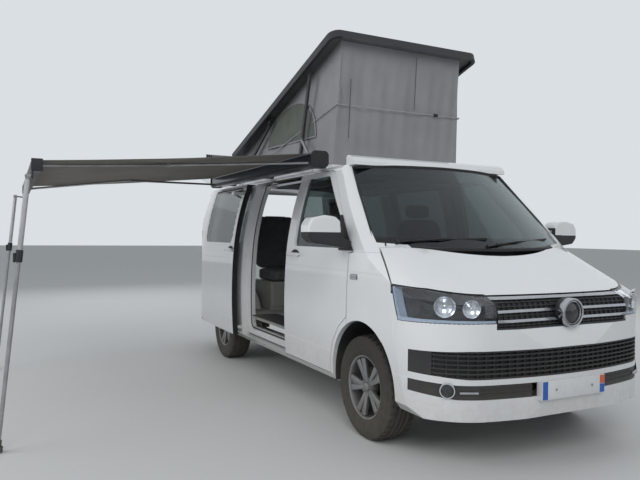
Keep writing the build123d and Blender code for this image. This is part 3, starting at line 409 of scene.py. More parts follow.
rubber = finish(
    "dusty_rubber", (0.016, 0.016, 0.016), (0.032, 0.031, 0.029), 0.70, 0.18, 14, 350, 0.4,
    dust=0.40, top=0.9)
bead = [
    (-0.090, 0.2035), (-0.0947, 0.2115), (-0.101, 0.232), (-0.1035, 0.238), (-0.1045, 0.246),
    (-0.1072, 0.268), (-0.1074, 0.285), (-0.1052, 0.305), (-0.1040, 0.307), (-0.1015, 0.320),
    (-0.0950, 0.333), (-0.088, 0.3385)]
tread = [
    (-0.078, 0.3412), (-0.0585, 0.3428), (-0.0565, 0.336), (-0.0515, 0.336), (-0.0495, 0.343),
    (-0.0205, 0.343), (-0.0185, 0.336), (-0.0125, 0.336), (-0.0105, 0.343)]
TYRE_SIDES = 120
half_profile = bead + tread
tyre_shell = turned(
    half_profile + [(-x, r) for x, r in reversed(half_profile)] + [half_profile[0]], TYRE_SIDES)
choose_faces(tyre_shell, lambda c, n: hypot(c.y, c.z) > 0.334 and 0.057 < abs(c.x) < 0.097
             and int((atan2(c.z, c.y) + pi) / (2 * pi) * TYRE_SIDES) % 3 == 0)
bpy.ops.mesh.extrude_region_shrink_fatten(TRANSFORM_OT_shrink_fatten={"value": -0.005})
close_mesh()
TYRE_RADIUS = 0.343
WHEELBASE = 3.0
WHEELS = (("front_left", 1, 0.0), ("front_right", -1, 0.0), ("rear_left", 1, WHEELBASE),
          ("rear_right", -1, WHEELBASE))
for corner, side, y in WHEELS:
    fit(
        on_axle(tyre_shell, side, y), "tyre_tread_" + corner, rubber, "tyre_" + corner,
        body="wheel_" + corner)
bpy.data.objects.remove(tyre_shell)

# Rims: cast alloy with five broad spokes, each split by a groove, a plain centre cap, five bolts,
# and the brake disc behind. The barrel is turned, one spoke is shaped and set round five times.
spoke_metal = finish(
    "cast_silver_alloy", (0.36, 0.36, 0.37), (0.27, 0.27, 0.28), 0.36, 0.12, 16, 600, 0.12,
    metallic=0.85, dust=0.7, top=0.7)
disc_metal = finish(
    "worn_brake_disc", (0.16, 0.15, 0.14), (0.09, 0.08, 0.075), 0.42, 0.2, 30, 900, 0.3,
    metallic=0.9)


def block(low, high):
    """A block between two corners."""
    low, high = Vector(low), Vector(high)
    clear_bench()
    bpy.ops.mesh.primitive_cube_add(size=1, location=(low + high) / 2, scale=high - low)
    made = bpy.context.object
    bpy.ops.object.transform_apply(location=True, rotation=True, scale=True)
    return made


def rounded(piece, width, steps=3, angle=30):
    """Rounds the sharp edges of a piece."""
    work_on(piece)
    edge = piece.modifiers.new("rounded", "BEVEL")
    edge.width = width
    edge.segments = steps
    edge.limit_method = "ANGLE"
    edge.angle_limit = radians(angle)
    bpy.ops.object.modifier_apply(modifier=edge.name)
    return piece


def joined(first, *others):
    """One piece made of several."""
    work_on(first, *others)
    bpy.ops.object.join()
    return first


def spoke_bar(low, high, flare, step_out, edge, steps, turn=0.0):
    """A bar of a spoke that widens and steps outward towards the rim, turned about the axle."""
    made = block(low, high)
    choose_faces(made, lambda c, n: n.z > 0.9)
    bpy.ops.transform.resize(value=(1, flare, 1), center_override=(0, 0, high[2]))
    bpy.ops.transform.translate(value=(step_out, 0, 0))
    rounded(made, edge, steps)
    made.data.transform(Matrix.Rotation(turn, 4, "X"))
    return made


SPOKES = 5
barrel = turned(
    [(0.097, 0.2105), (0.0975, 0.206), (0.094, 0.200), (0.086, 0.197), (0.060, 0.193), (0.0, 0.186),
     (-0.060, 0.186), (-0.097, 0.194), (-0.0975, 0.2105), (-0.0955, 0.2105), (-0.095, 0.2032),
     (0.095, 0.2032), (0.0955, 0.2105), (0.097, 0.2105)], 96)
cap = turned(
    [(0.0885, 0.0004), (0.0885, 0.020), (0.0865, 0.027), (0.082, 0.0305), (0.074, 0.0315), (0.074, 0.062),
     (0.052, 0.070), (0.010, 0.070), (0.010, 0.0004)], 48)
nut = turned([(0.0815, 0.0004), (0.0815, 0.0085), (0.079, 0.0105), (0.070, 0.0105)], 6)
nut.data.transform(Matrix.Rotation(pi / SPOKES, 4, "X") @ Matrix.Translation((0, 0, 0.048)))
ribs = [spoke_bar((0.050, -0.0145, 0.045), (0.078, 0.0145, 0.192), 1.5, 0.014, 0.006, 3, turn)
        for turn in (-0.185, 0.185)]
web = spoke_bar((0.046, -0.026, 0.055), (0.067, 0.026, 0.190), 1.4, 0.013, 0.004, 2)
spoke = joined(web, nut, *ribs)
cast_rim = joined(barrel, cap, *[copy_of(spoke, Matrix.Rotation(2 * pi * step / SPOKES, 4, "X"))
                                 for step in range(SPOKES)])
brake = turned(
    [(0.012, 0.0004), (0.030, 0.060), (0.030, 0.075), (0.012, 0.078), (0.012, 0.128), (-0.012, 0.128),
     (-0.012, 0.060), (-0.012, 0.0004)], 64)
for corner, side, y in WHEELS:
    wheel = "wheel_" + corner
    fit(on_axle(cast_rim, side, y, 0.35), "cast_rim_" + corner, spoke_metal, "rim_" + corner, body=wheel)
    fit(on_axle(brake, side, y), "brake_disc_" + corner, disc_metal, body=wheel)
for pattern in (spoke, cast_rim, brake):
    bpy.data.objects.remove(pattern)

# Wheel arch liners: black moulded shells pressed up into the arches over all four wheels, open
# below and closed on the inner side by a flange.
for corner, side, y in WHEELS:
    liner = turned([(0.625, 0.366), (0.625, 0.3985), (0.915, 0.3985), (0.915, 0.3965), (0.628, 0.3965),
                    (0.628, 0.366)], 96)
    open_mesh(liner)
    bpy.ops.mesh.bisect(plane_co=(0, 0, -0.075), plane_no=(0, 0, -1), use_fill=False, clear_outer=True)
    close_mesh()
    liner.data.transform(Matrix.Translation((0, y, 0.385)) @ facing(side))
    fit(liner, "arch_liner_" + corner, black_plastic, smooth=60)


# Upper grille: a ribbed black screen between the headlamps with three bright strips, the top one
# under the bonnet's edge, and a plain round badge seat. Moulded in plastic, the strips plated.
def body_copy(node_name):
    """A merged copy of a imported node's surface, measured from the front axle."""
    twin = bpy.data.objects.new(node_name + "_copy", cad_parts[node_name].data.copy())
    bpy.context.scene.collection.objects.link(twin)
    twin.data.transform(Matrix.Translation(-FRONT_AXLE))
    work_on(twin)
    bpy.ops.mesh.customdata_custom_splitnormals_clear()
    open_mesh(twin)
    bpy.ops.mesh.remove_doubles(threshold=0.00005)
    close_mesh()
    return twin


def slice_of(solid, *cuts, shift=(0, 0, 0)):
    """The part of a solid between planes, each cut being (axis, low, high), moved by shift."""
    part = copy_of(solid)
    open_mesh(part)
    for axis, low, high in cuts:
        for at, way in ((low, -1), (high, 1)):
            point = [0, 0, 0]
            point[axis] = at
            normal = [0, 0, 0]
            normal[axis] = way
            bpy.ops.mesh.select_all(action="SELECT")
            bpy.ops.mesh.bisect(plane_co=point, plane_no=normal, use_fill=True, clear_outer=True)
    close_mesh()
    part.data.transform(Matrix.Translation(shift))
    return part


def across(side, near, far):
    """A cut across the van on one of its sides, from near to far."""
    return (0, *sorted((side * near, side * far)))


def grille_part(low, high, cut, back=0.0):
    """The part of the grille between two heights and inside a cut, set back from its face."""
    return slice_of(grille_body, (2, low, high), cut, shift=(0, back, 0))


def facing_front(piece, x, y, z, turn=0.0, lift=0.0):
    """Turns a piece made about the x axis to face forward, swung outward by turn, and puts it in place."""
    swing = Matrix.Rotation(-pi / 2 + turn, 4, "Z") @ Matrix.Rotation(lift, 4, "Y")
    piece.data.transform(Matrix.Translation((x, y, z)) @ swing)
    return piece


bright_strip = finish(
    "plated_strip", (0.50, 0.51, 0.53), (0.42, 0.43, 0.45), 0.16, 0.1, 25, 500, 0.05, metallic=1.0)
gloss_black = finish(
    "gloss_black_plastic", (0.008, 0.008, 0.009), (0.014, 0.014, 0.015), 0.12, 0.08, 12,
    300, 0.03, coat=0.8)
RIB_PITCH = 0.042
grille_body = body_copy("radiator_grille")
screen_parts = [grille_part(0.823, 1.003, (0, -0.5445, 0.5445), 0.022),
                grille_part(0.8225, 0.833, (0, -0.5445, 0.5445))]
for x in [step * RIB_PITCH - 0.525 for step in range(26)]:
    if abs(x) > 0.1:
        screen_parts.append(grille_part(0.823, 1.0, (0, x - 0.0025, x + 0.0025), 0.012))
for z in (0.844, 0.900, 0.950, 0.974):
    screen_parts.append(grille_part(z - 0.003, z + 0.003, (0, -0.544, 0.544), 0.009))
fit(joined(*screen_parts), "upper_grille_screen", black_plastic, "radiator_grille", smooth=30)
strips = [grille_part(0.989, 1.0035, (0, -0.543, 0.543), -0.003)]
for low, high in ((0.917, 0.933), (0.862, 0.878)):
    for side in (-1, 1):
        strips.append(grille_part(low, high, across(side, 0.084, 0.540), -0.004))
fit(rounded(joined(*strips), 0.003, 2, 50), "grille_strips", bright_strip, smooth=30)
badge_ring = turned(
    [(-0.030, 0.087), (0.004, 0.087), (0.009, 0.084), (0.010, 0.079), (0.006, 0.075), (0.000, 0.0745),
     (-0.004, 0.0735), (-0.004, 0.070), (0.002, 0.069), (0.003, 0.066), (-0.001, 0.0635), (-0.006, 0.063),
     (-0.030, 0.063), (-0.030, 0.087)], 96)
fit(facing_front(badge_ring, 0, -0.905, 0.904), "badge_ring", bright_strip, smooth=35)
badge_seat = turned([(-0.012, 0.063), (-0.006, 0.050), (-0.002, 0.028), (0.0, 0.0004)], 96)
fit(facing_front(badge_seat, 0, -0.905, 0.904), "badge_seat", gloss_black, smooth=60)


# Lower grilles: a wide slatted opening with plain flat ends, and a narrow strip below it that holds
# a fog lamp at each end. Grained black plastic pushed into the bumper from behind.
def touch(node_name, start, way=(0, 1, 0)):
    """Where a line from start, rearward by default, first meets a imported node."""
    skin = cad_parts[node_name].data
    tree = BVHTree.FromPolygons([v.co for v in skin.vertices], [f.vertices for f in skin.polygons])
    return tree.ray_cast(FRONT_AXLE + Vector(start), Vector(way))[0] - FRONT_AXLE


HANDS = ((1, "left"), (-1, "right"))
AHEAD = -2.0
lower_parts = [grille_part(0.530, 0.710, (0, -0.865, 0.865), 0.026)]
for side in (-1, 1):
    lower_parts.append(grille_part(0.530, 0.710, across(side, 0.862, 0.960)))
for z in (0.5455, 0.572, 0.598, 0.624, 0.650, 0.676, 0.6965):
    lower_parts.append(grille_part(z - 0.0045, z + 0.0045, (0, -0.863, 0.863), 0.003))
for x in [step * 0.050 for step in range(-17, 18)]:
    lower_parts.append(grille_part(0.542, 0.700, (0, x - 0.003, x + 0.003), 0.012))
fit(joined(*lower_parts), "lower_grille", black_plastic, smooth=30)
fog_parts = []
for side in (-1, 1):
    fog_parts.append(grille_part(0.415, 0.525, across(side, 0.29, 0.955), 0.006))
    for z in (0.455, 0.482):
        fog_parts.append(grille_part(z - 0.003, z + 0.003, across(side, 0.29, 0.64)))
fit(joined(*fog_parts), "fog_strip", black_plastic, smooth=30)
bpy.data.objects.remove(grille_body)
lamp_glass = pane("lamp_front_glass", (0.92, 0.95, 0.98), 0.02)
reflector = finish(
    "lamp_reflector", (0.78, 0.79, 0.80), (0.66, 0.67, 0.69), 0.06, 0.06, 30, 300, 0.02,
    metallic=1.0)
for side, name in HANDS:
    at = touch("radiator_grille", (side * 0.80, AHEAD, 0.478))
    bowl = turned(
        [(0.004, 0.046), (0.010, 0.044), (0.010, 0.038), (-0.002, 0.034), (-0.012, 0.020),
         (-0.014, 0.0004)], 48)
    fit(facing_front(bowl, at.x, at.y, 0.476, side * 0.75), "fog_lamp_bowl_" + name, reflector)
    cover = turned([(0.002, 0.038), (0.006, 0.030), (0.010, 0.014), (0.011, 0.0004)], 48)
    fit(facing_front(cover, at.x, at.y, 0.476, side * 0.75), "fog_lamp_glass_" + name, lamp_glass)
    at = touch("radiator_grille", (side * 0.70, AHEAD, 0.470))
    trim = rounded(block((-0.055, -0.006, -0.007), (0.055, 0.006, 0.007)), 0.004)
    trim.data.transform(Matrix.Translation((at.x, at.y, 0.466)) @ Matrix.Rotation(side * 0.45, 4, "Z"))
    fit(trim, "fog_trim_" + name, bright_strip)

# Number plate: a blank reflective plate with a coloured band at each end, on two screws in the
# bumper's carrier. No characters are shown.
plate_white, plate_blue, plate_orange = [
    finish("plate_" + name, colour, shade, 0.35, 0.08, 14, 800, 0.1)
    for name, colour, shade in (("white", (0.72, 0.73, 0.73), (0.66, 0.67, 0.67)),
                                ("blue", (0.02, 0.12, 0.50), (0.02, 0.10, 0.42)),
                                ("orange", (0.70, 0.13, 0.05), (0.60, 0.11, 0.05)))]
fit(rounded(block((-0.26, -0.9275, 0.405), (0.26, -0.9255, 0.515)), 0.0008, 2), "blank_plate", plate_white)
for name, left, right, low, high, paint in (("band_right", -0.2585, -0.2175, 0.407, 0.513, plate_blue),
                                            ("band_left", 0.2175, 0.2585, 0.407, 0.460, plate_blue),
                                            ("square", 0.2175, 0.2585, 0.462, 0.513, plate_orange)):
    fit(rounded(block((left, -0.9280, low), (right, -0.9272, high)), 0.0003, 1), "plate_" + name, paint)
for side, name in HANDS:
    head = turned(
        [(0.0001, 0.009), (0.002, 0.0085), (0.003, 0.006), (0.003, 0.003), (0.001, 0.003), (0.001, 0.0004)],
        24)
    fit(facing_front(head, side * 0.15, -0.9275, 0.460), "plate_screw_" + name, bright_strip, slot="steel")

# Headlamps: a clear moulded cover over a dark housing with two plated bowls, a bulb shield and a
# pale light guide along the outer end and foot. The cover follows the wing and the bonnet's edge.
guide_white = finish(
    "light_guide", (0.62, 0.72, 0.84), (0.55, 0.66, 0.80), 0.25, 0.1, 20, 400, 0.05)
housing_dark = finish(
    "lamp_housing", (0.030, 0.031, 0.034), (0.055, 0.056, 0.060), 0.22, 0.12, 9, 400, 0.06)


def keep_faces(solid, wanted):
    """Strips a solid down to the faces for which wanted(centre, normal) holds."""
    choose_faces(solid, lambda c, n: not wanted(c, n))
    bpy.ops.mesh.delete(type="FACE")
    close_mesh()
    return solid


def thick(skin, depth, offset=-1.0):
    """Gives a skin a thickness, inward by default."""
    work_on(skin)
    wall = skin.modifiers.new("wall", "SOLIDIFY")
    wall.thickness = depth
    wall.offset = offset
    bpy.ops.object.modifier_apply(modifier=wall.name)
    return skin


def outward(c, n):
    """Whether a headlamp's face looks out of the body."""
    return n.dot(Vector((c.x, c.y - 0.35, 0.0)).normalized()) > 0.32


lamp_body = body_copy("headlamps")
for side, name in HANDS:
    half = slice_of(lamp_body, across(side, 0.0, 1.2))
    cover = thick(keep_faces(slice_of(half), outward), 0.003)
    fit(cover, "lamp_cover_" + name, lamp_glass, "headlamps", smooth=30)
    tub = thick(keep_faces(slice_of(half), lambda c, n: not outward(c, n)), 0.002, 1.0)
    fit(tub, "lamp_tub_" + name, housing_dark, smooth=30)
    foot_line = thick(keep_faces(slice_of(half, (2, 0.848, 0.872)), outward), 0.010)
    foot_line.data.transform(Matrix.Translation((-side * 0.004, 0.006, 0.002)))
    fit(foot_line, "light_guide_foot_" + name, guide_white, smooth=30)
    end_line = slice_of(half, (1, -0.480, -0.34), (2, 0.862, 1.046))
    open_mesh(end_line)
    bpy.ops.mesh.bisect(
        plane_co=(0, -0.466, 0.85), plane_no=(0, -0.934, 0.357), use_fill=True, clear_outer=True)
    thick(keep_faces(end_line, outward), 0.010)
    end_line.data.transform(Matrix.Translation((-side * 0.008, 0.004, 0)))
    fit(end_line, "light_guide_end_" + name, guide_white, smooth=30)
    for beam, x, z, size, turn in (("main", 0.815, 0.950, 1.0, 0.62), ("dip", 0.690, 0.942, 0.86, 0.42)):
        at = touch("headlamps", (side * x, AHEAD, z))
        bowl = turned([(-0.010, 0.062), (-0.012, 0.059), (-0.026, 0.050), (-0.038, 0.036), (-0.045, 0.018),
                       (-0.046, 0.012), (-0.024, 0.011), (-0.020, 0.008), (-0.019, 0.0004)], 64)
        bowl.data.transform(Matrix.Scale(size, 4))
        fit(
            facing_front(bowl, at.x, at.y, z, side * turn, 0.10), "lamp_bowl_" + beam + "_" + name,
            reflector, smooth=50)
    at = touch("headlamps", (side * 0.59, AHEAD, 0.93))
    wedge = rounded(block((-0.030, 0.012, -0.040), (0.030, 0.030, 0.040)), 0.010)
    wedge.data.transform(Matrix.Translation((at.x, at.y, 0.93)) @ Matrix.Rotation(side * 0.30, 4, "Z"))
    fit(wedge, "lamp_bezel_" + name, housing_dark)
    bpy.data.objects.remove(half)
bpy.data.objects.remove(lamp_body)

# Door mirrors: a painted cap over a black lower shell on a black arm and sail, moulded in halves,
# with a silvered glass facing rearward.
mirror_silver = finish(
    "mirror_silver", (0.70, 0.72, 0.74), (0.64, 0.66, 0.68), 0.03, 0.03, 8, 200, 0.01,
    metallic=1.0)


def softened(piece, voxel, rounds, factor=0.6):
    """Melts a piece's corners into one smooth skin."""
    work_on(piece)
    melt = piece.modifiers.new("melt", "REMESH")
    melt.mode = "VOXEL"
    melt.voxel_size = voxel
    bpy.ops.object.modifier_apply(modifier=melt.name)
    ease = piece.modifiers.new("ease", "SMOOTH")
    ease.factor = factor
    ease.iterations = rounds
    bpy.ops.object.modifier_apply(modifier=ease.name)
    return piece


for side, name in HANDS:
    door = "door_" + name
    whole = body_copy("door_mirror_" + name)
    sail = rounded(slice_of(whole, across(side, 0.70, 1.01)), 0.003, 2)
    fit(sail, "mirror_sail_" + name, black_plastic, "door_mirror_" + name, body=door)
    head = softened(slice_of(whole, across(side, 1.0, 1.30)), 0.006, 14)
    fit(slice_of(head, (2, 1.20, 1.372)), "mirror_shell_" + name, black_plastic, body=door, smooth=60)
    fit(slice_of(head, (2, 1.3735, 1.60)), "mirror_cap_" + name, white_paint, body=door, smooth=60)
    silver = rounded(block((-0.095, 0, -0.058), (0.095, 0.003, 0.062)), 0.020, 4)
    silver.data.transform(Matrix.Translation((side * 1.135, 0.2955, 1.392)))
    fit(silver, "mirror_glass_" + name, mirror_silver, body=door, smooth=30)
    bpy.data.objects.remove(head)
    bpy.data.objects.remove(whole)

# Door handles: painted grips over dished black recesses, the same on both front doors and on the
# sliding door, each on two studs through the skin.
ABREAST = 1.6
for body, node_name, side, y in (("door_left", "front_door_left", 1, 1.085),
                                 ("door_right", "front_door_right", -1, 1.085),
                                 ("van_body", "sliding_door", -1, 2.448)):
    spot = Matrix.Translation(touch(node_name, (side * ABREAST, y, 1.195), (-side, 0, 0))) @ facing(side)
    dish = turned(
        [(-0.001, 0.062), (0.0015, 0.060), (0.0018, 0.052), (0.0004, 0.048), (0.0002, 0.0004)], 48)
    dish.data.transform(spot @ Matrix.Diagonal((1, 1.25, 0.62, 1)))
    fit(dish, node_name + "_handle_dish", black_plastic, body=body, smooth=60)
    studs = [block((-0.002, low, -0.011), (0.030, low + 0.030, 0.011)) for low in (-0.100, 0.070)]
    grip = rounded(joined(block((0.020, -0.105, -0.014), (0.036, 0.105, 0.014)), *studs), 0.006, 4)
    grip.data.transform(spot)
    fit(grip, node_name + "_handle", white_paint, body=body, smooth=50)

# Side repeaters: a small clear lens in a bright bezel, moulded in plastic and let into each wing
# ahead of the door.
for side, name in HANDS:
    at = touch("front_wings", (side * ABREAST, 0.098, 1.072), (-side, 0, 0))
    lens = rounded(block((-0.002, -0.048, -0.016), (0.007, 0.048, 0.016)), 0.006, 4)
    lens.data.transform(Matrix.Translation(at + Vector((-0.005 if side < 0 else 0, 0, 0))))
    fit(lens, "side_repeater_" + name, lamp_glass, smooth=50)
    bezel = rounded(block((-0.003, -0.053, -0.020), (0.003, 0.053, 0.020)), 0.005, 3)
    bezel.data.transform(Matrix.Translation(at))
    fit(bezel, "repeater_bezel_" + name, reflector, smooth=50)

# Window seals: black rubber run round every pane and pressed over the body flange. Each is made
# from the pane's own edge, and the axis is the one that the pane's face looks along.
rubber_seal = finish(
    "black_seal", (0.012, 0.012, 0.013), (0.022, 0.022, 0.023), 0.55, 0.15, 20, 500, 0.1)
for node_name, body, width, axis in (
    ("windscreen", "van_body", 0.018, 1), ("side_windows", "van_body", 0.014, 0),
    ("sliding_door_glass", "van_body", 0.014, 0), ("door_glass_left", "door_left", 0.012, 0),
    ("door_glass_right", "door_right", 0.012, 0),
):
    ring = keep_faces(body_copy(node_name), lambda c, n: abs(n[axis]) < 0.28)
    fit(thick(ring, width, 1.0), node_name + "_seal", rubber_seal, body=body, smooth=30)

# Windscreen band: the black ceramic edge fired on the inside of the glass, deep at the foot where
# it hides the wiper well, and a green sun band under the one at the top.
band_black = finish(
    "ceramic_band", (0.006, 0.006, 0.007), (0.010, 0.010, 0.011), 0.25, 0.05, 10, 300, 0.02)
screen_copy = body_copy("windscreen")
bands = [slice_of(screen_copy, (2, low, high), (0, -0.90, 0.90), shift=(0, 0.007, -0.004))
         for low, high in ((1.20, 1.345), (1.845, 1.95))]
fit(joined(*bands), "screen_band", band_black, smooth=30)
sun_band = slice_of(screen_copy, (2, 1.765, 1.845), (0, -0.86, 0.86), shift=(0, 0.008, -0.004))
fit(sun_band, "screen_sun_band", pane("screen_sun_band", (0.20, 0.42, 0.36)), smooth=30)
bpy.data.objects.remove(screen_copy)


# Wipers: two black steel arms, each bent at a knee and bolted to its spindle, with rubber blades
# parked along the foot of the windscreen.
def bar(start, end, radius, sides=16):
    """A round bar between two points."""
    start, end = Vector(start), Vector(end)
    clear_bench()
    bpy.ops.mesh.primitive_cylinder_add(vertices=sides, radius=radius, depth=(end - start).length,
                                        location=(start + end) / 2,
                                        rotation=(end - start).to_track_quat("Z", "Y").to_euler())
    made = bpy.context.object
    bpy.ops.object.transform_apply(location=True, rotation=True, scale=True)
    return made


for name, hub_x, hub_z, tip_x in (("near", -0.10, 1.300, 0.62), ("far", -0.72, 1.325, -0.06)):
    hub = touch("windscreen", (hub_x, AHEAD, hub_z)) + Vector((0, -0.030, -0.012))
    tip = touch("windscreen", (tip_x, AHEAD, 1.335))
    knee = hub.lerp(tip, 0.45) + Vector((0, -0.030, 0.012))
    heel, toe = hub.lerp(tip, 0.12) + Vector((0, -0.014, 0.010)), tip + Vector((0, -0.010, 0.008))
    arm = joined(bar(hub, knee, 0.006), bar(knee, hub.lerp(tip, 0.62) + Vector((0, -0.018, 0.008)), 0.004),
                 bar(hub + Vector((0, 0.014, -0.018)), hub + Vector((0, -0.008, 0.008)), 0.013))
    blade = rounded(block((-0.5, -0.005, -0.011), (0.5, 0.004, 0.004)), 0.002, 2)
    run = toe - heel
    along_run = run.to_track_quat("X", "Z").to_matrix().to_4x4()
    blade.data.transform(Matrix.Translation(heel.lerp(toe, 0.5)) @ along_run
                         @ Matrix.Diagonal((run.length, 1, 1, 1)))
    fit(joined(arm, blade), "wiper_" + name, rubber_seal)

# Roof walls: coated grey tent cloth sewn into a ring, stretched between the roof opening and the
# raised panel, with soft upright creases, two seams in front, a netted window each side, and a
# cord with a buckle drawn round it.
SILL_Z, WALL_X, FLANK_X, MIDDLE_Y = 1.937, 0.64, 0.60, 2.05
CORNER_X, NOSE_CORNER_Y, TAIL_CORNER_Y = 0.626, 1.0, 3.19
PANEL_NOSE_Y, PANEL_NOSE_Z, PANEL_SLOPE = 0.84, 2.975, 0.2995
tent_cloth = finish(
    "grey_tent_cloth", (0.33, 0.33, 0.34), (0.28, 0.28, 0.29), 0.85, 0.1, 3, 900, 0.5)
walls = keep_faces(body_copy("roof_bellows"),
                   lambda c, n: n.dot(Vector((c.x / WALL_X, (c.y - MIDDLE_Y) / 1.1, 0))) > 0.25)
open_mesh(walls)
bpy.ops.mesh.dissolve_limited(angle_limit=radians(1))
bpy.ops.mesh.subdivide(number_cuts=54)
bpy.ops.mesh.quads_convert_to_tris()
close_mesh()


def wall_top(y):
    """Height of the raised panel's underside at a station."""
    return PANEL_NOSE_Z - (y - PANEL_NOSE_Y) * PANEL_SLOPE


for v in walls.data.vertices:
    x, y, z = v.co
    rise = min(1.0, max(0.0, (z - SILL_Z) / max(0.2, wall_top(y) - SILL_Z)))
    along = x if abs(y - MIDDLE_Y) > 0.98 and abs(x) < FLANK_X else y
    hold = sin(pi * rise) ** 0.7 if 0 < rise < 1 else 0.0
    corner_y = NOSE_CORNER_Y if y < 2 else TAIL_CORNER_Y
    corner = min(1.0, 12 * min(abs(CORNER_X - abs(x)) + abs(y - corner_y), 0.2))
    fold = 0.5 * sin(24 * along + 2.2 * rise) + 0.32 * sin(53 * along - 3.1 * rise + 1.0)
    fold += 1.5 * noise.noise(Vector((x * 2.6, y * 2.6, z * 0.8)))
    fold += 0.4 * noise.noise(Vector((x * 9, y * 9, z * 4)))
    out = Vector((copysign(1, x), 0, 0)) if abs(x) > FLANK_X else Vector((0, copysign(1, y - MIDDLE_Y), 0))
    v.co += out * (0.012 * fold - 0.014) * hold * corner


def grid(columns, rows):
    """A flat grid of two by two metres."""
    clear_bench()
    bpy.ops.mesh.primitive_grid_add(x_subdivisions=columns, y_subdivisions=rows, size=2)
    return bpy.context.object


WINDOW_Y, WINDOW_HALF, WINDOW_HIGH, WINDOW_FOOT_Z = 1.90, 0.56, 0.345, 2.225


def dome_patch(side, grow, lift):
    """A half-round patch on a side wall, wider by grow and standing off the cloth by lift."""
    patch = grid(48, 24)
    for v in patch.data.vertices:
        u, w = v.co.x, (v.co.y + 1) / 2
        y = WINDOW_Y + (WINDOW_HALF + grow) * u
        foot_line = WINDOW_FOOT_Z + (y - 1.378) * 0.02 - grow
        high = (WINDOW_HIGH * sqrt(max(0.0, 1 - u * u)) + 2 * grow) * (1 - 0.30 * (y - 1.88))
        z = foot_line + high * w
        rise = (z - SILL_Z) / (wall_top(y) - SILL_Z)
        v.co = Vector((side * (WALL_X - 0.028 * rise + lift + 0.004 * sin(9 * y + 3 * z)), y, z))
    return thick(patch, 0.002, 0.0)


net = finish("window_net", (0.12, 0.135, 0.12), (0.16, 0.175, 0.16), 0.8, 0.1, 8, 1400, 1.0)
seam_grey = finish(
    "dark_seam_tape", (0.085, 0.085, 0.09), (0.11, 0.11, 0.115), 0.8, 0.1, 20, 900, 0.5)
cord_grey = finish(
    "pale_cord", (0.42, 0.42, 0.43), (0.36, 0.36, 0.37), 0.75, 0.1, 40, 1500, 0.5)
window = joined(dome_patch(1, 0.0, 0.0120), dome_patch(-1, 0.0, 0.0120))
binding = joined(dome_patch(1, 0.016, 0.0095), dome_patch(-1, 0.016, 0.0095))
seams = joined(block((-0.524, 0.9345, 2.16), (-0.517, 0.9375, 2.64)),
               block((0.117, 0.9345, 2.45), (0.124, 0.9375, 2.90)))
for v in seams.data.vertices:
    v.co.y -= (v.co.z - 2.4) * 0.068
rounded(seams, 0.001, 2)
cord = joined(bar((-0.634, 0.955, 2.43), (0.634, 0.955, 2.43), 0.0045),
              *[bar((side * 0.634, 0.955, 2.43), (side * 0.652, 2.75, 2.08), 0.0045) for side in (-1, 1)])
buckle = rounded(block((0.345, 0.940, 2.418), (0.385, 0.958, 2.442)), 0.004)
fit(thick(walls, 0.0015), "roof_walls", tent_cloth, "roof_bellows", smooth=80)
fit(window, "roof_wall_nets", net, smooth=80)
fit(binding, "roof_wall_binding", tent_cloth, smooth=80)
fit(seams, "roof_wall_seams", seam_grey, smooth=80)
fit(cord, "roof_wall_cord", cord_grey, smooth=60)
fit(buckle, "roof_cord_buckle", rubber_seal)
for piece in (walls, window, binding, seams, cord, buckle):
    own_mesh(piece)

# Awning case: a rounded navy extrusion with black moulded end caps, held on three brackets on the
# roof's drip rail, with a cover lip along its outer foot and caps on the lead rail's ends.
navy = finish(
    "navy_awning_case", (0.012, 0.016, 0.030), (0.020, 0.025, 0.042), 0.32, 0.12, 4, 300,
    0.06, coat=0.4)
case_parts = [rounded(block((-0.985, 0.6905, 1.876), (-0.850, 3.2895, 1.990)), 0.030, 5)]
for y in (0.90, 1.99, 3.08):
    case_parts.append(rounded(block((-0.856, y - 0.040, 1.884), (-0.770, y + 0.040, 1.912)), 0.004, 2))
fit(joined(*case_parts), "awning_case_shell", navy, "awning_case")
for low, high, name in ((0.674, 0.696, "front"), (3.284, 3.306, "rear")):
    end_cap = block((-0.991, low, 1.870), (-0.844, high, 1.996))
    work_on(end_cap)
    bpy.ops.object.mode_set(mode="EDIT")
    bpy.ops.mesh.select_mode(type="EDGE")
    bpy.ops.mesh.select_all(action="DESELECT")
    close_mesh()
    for edge in end_cap.data.edges:
        first, second = [end_cap.data.vertices[i].co for i in edge.vertices]
        edge.select = abs(first.y - second.y) > 0.01
    bpy.ops.object.mode_set(mode="EDIT")
    bpy.ops.mesh.bevel(offset=0.036, segments=6)
    fit(rounded(end_cap, 0.004, 3, 60), "awning_end_cap_" + name, rubber_seal)
fit(rounded(block((-0.9895, 0.694, 1.878), (-0.9815, 3.286, 1.902)), 0.003), "awning_case_lip", dark_shell)
for low, high, name in ((0.684, 0.694, "front"), (3.286, 3.296, "rear")):
    rail_cap = rounded(block((-2.914, low, 1.732), (-2.846, high, 1.812)), 0.006)
    fit(rail_cap, "lead_rail_cap_" + name, black_plastic)

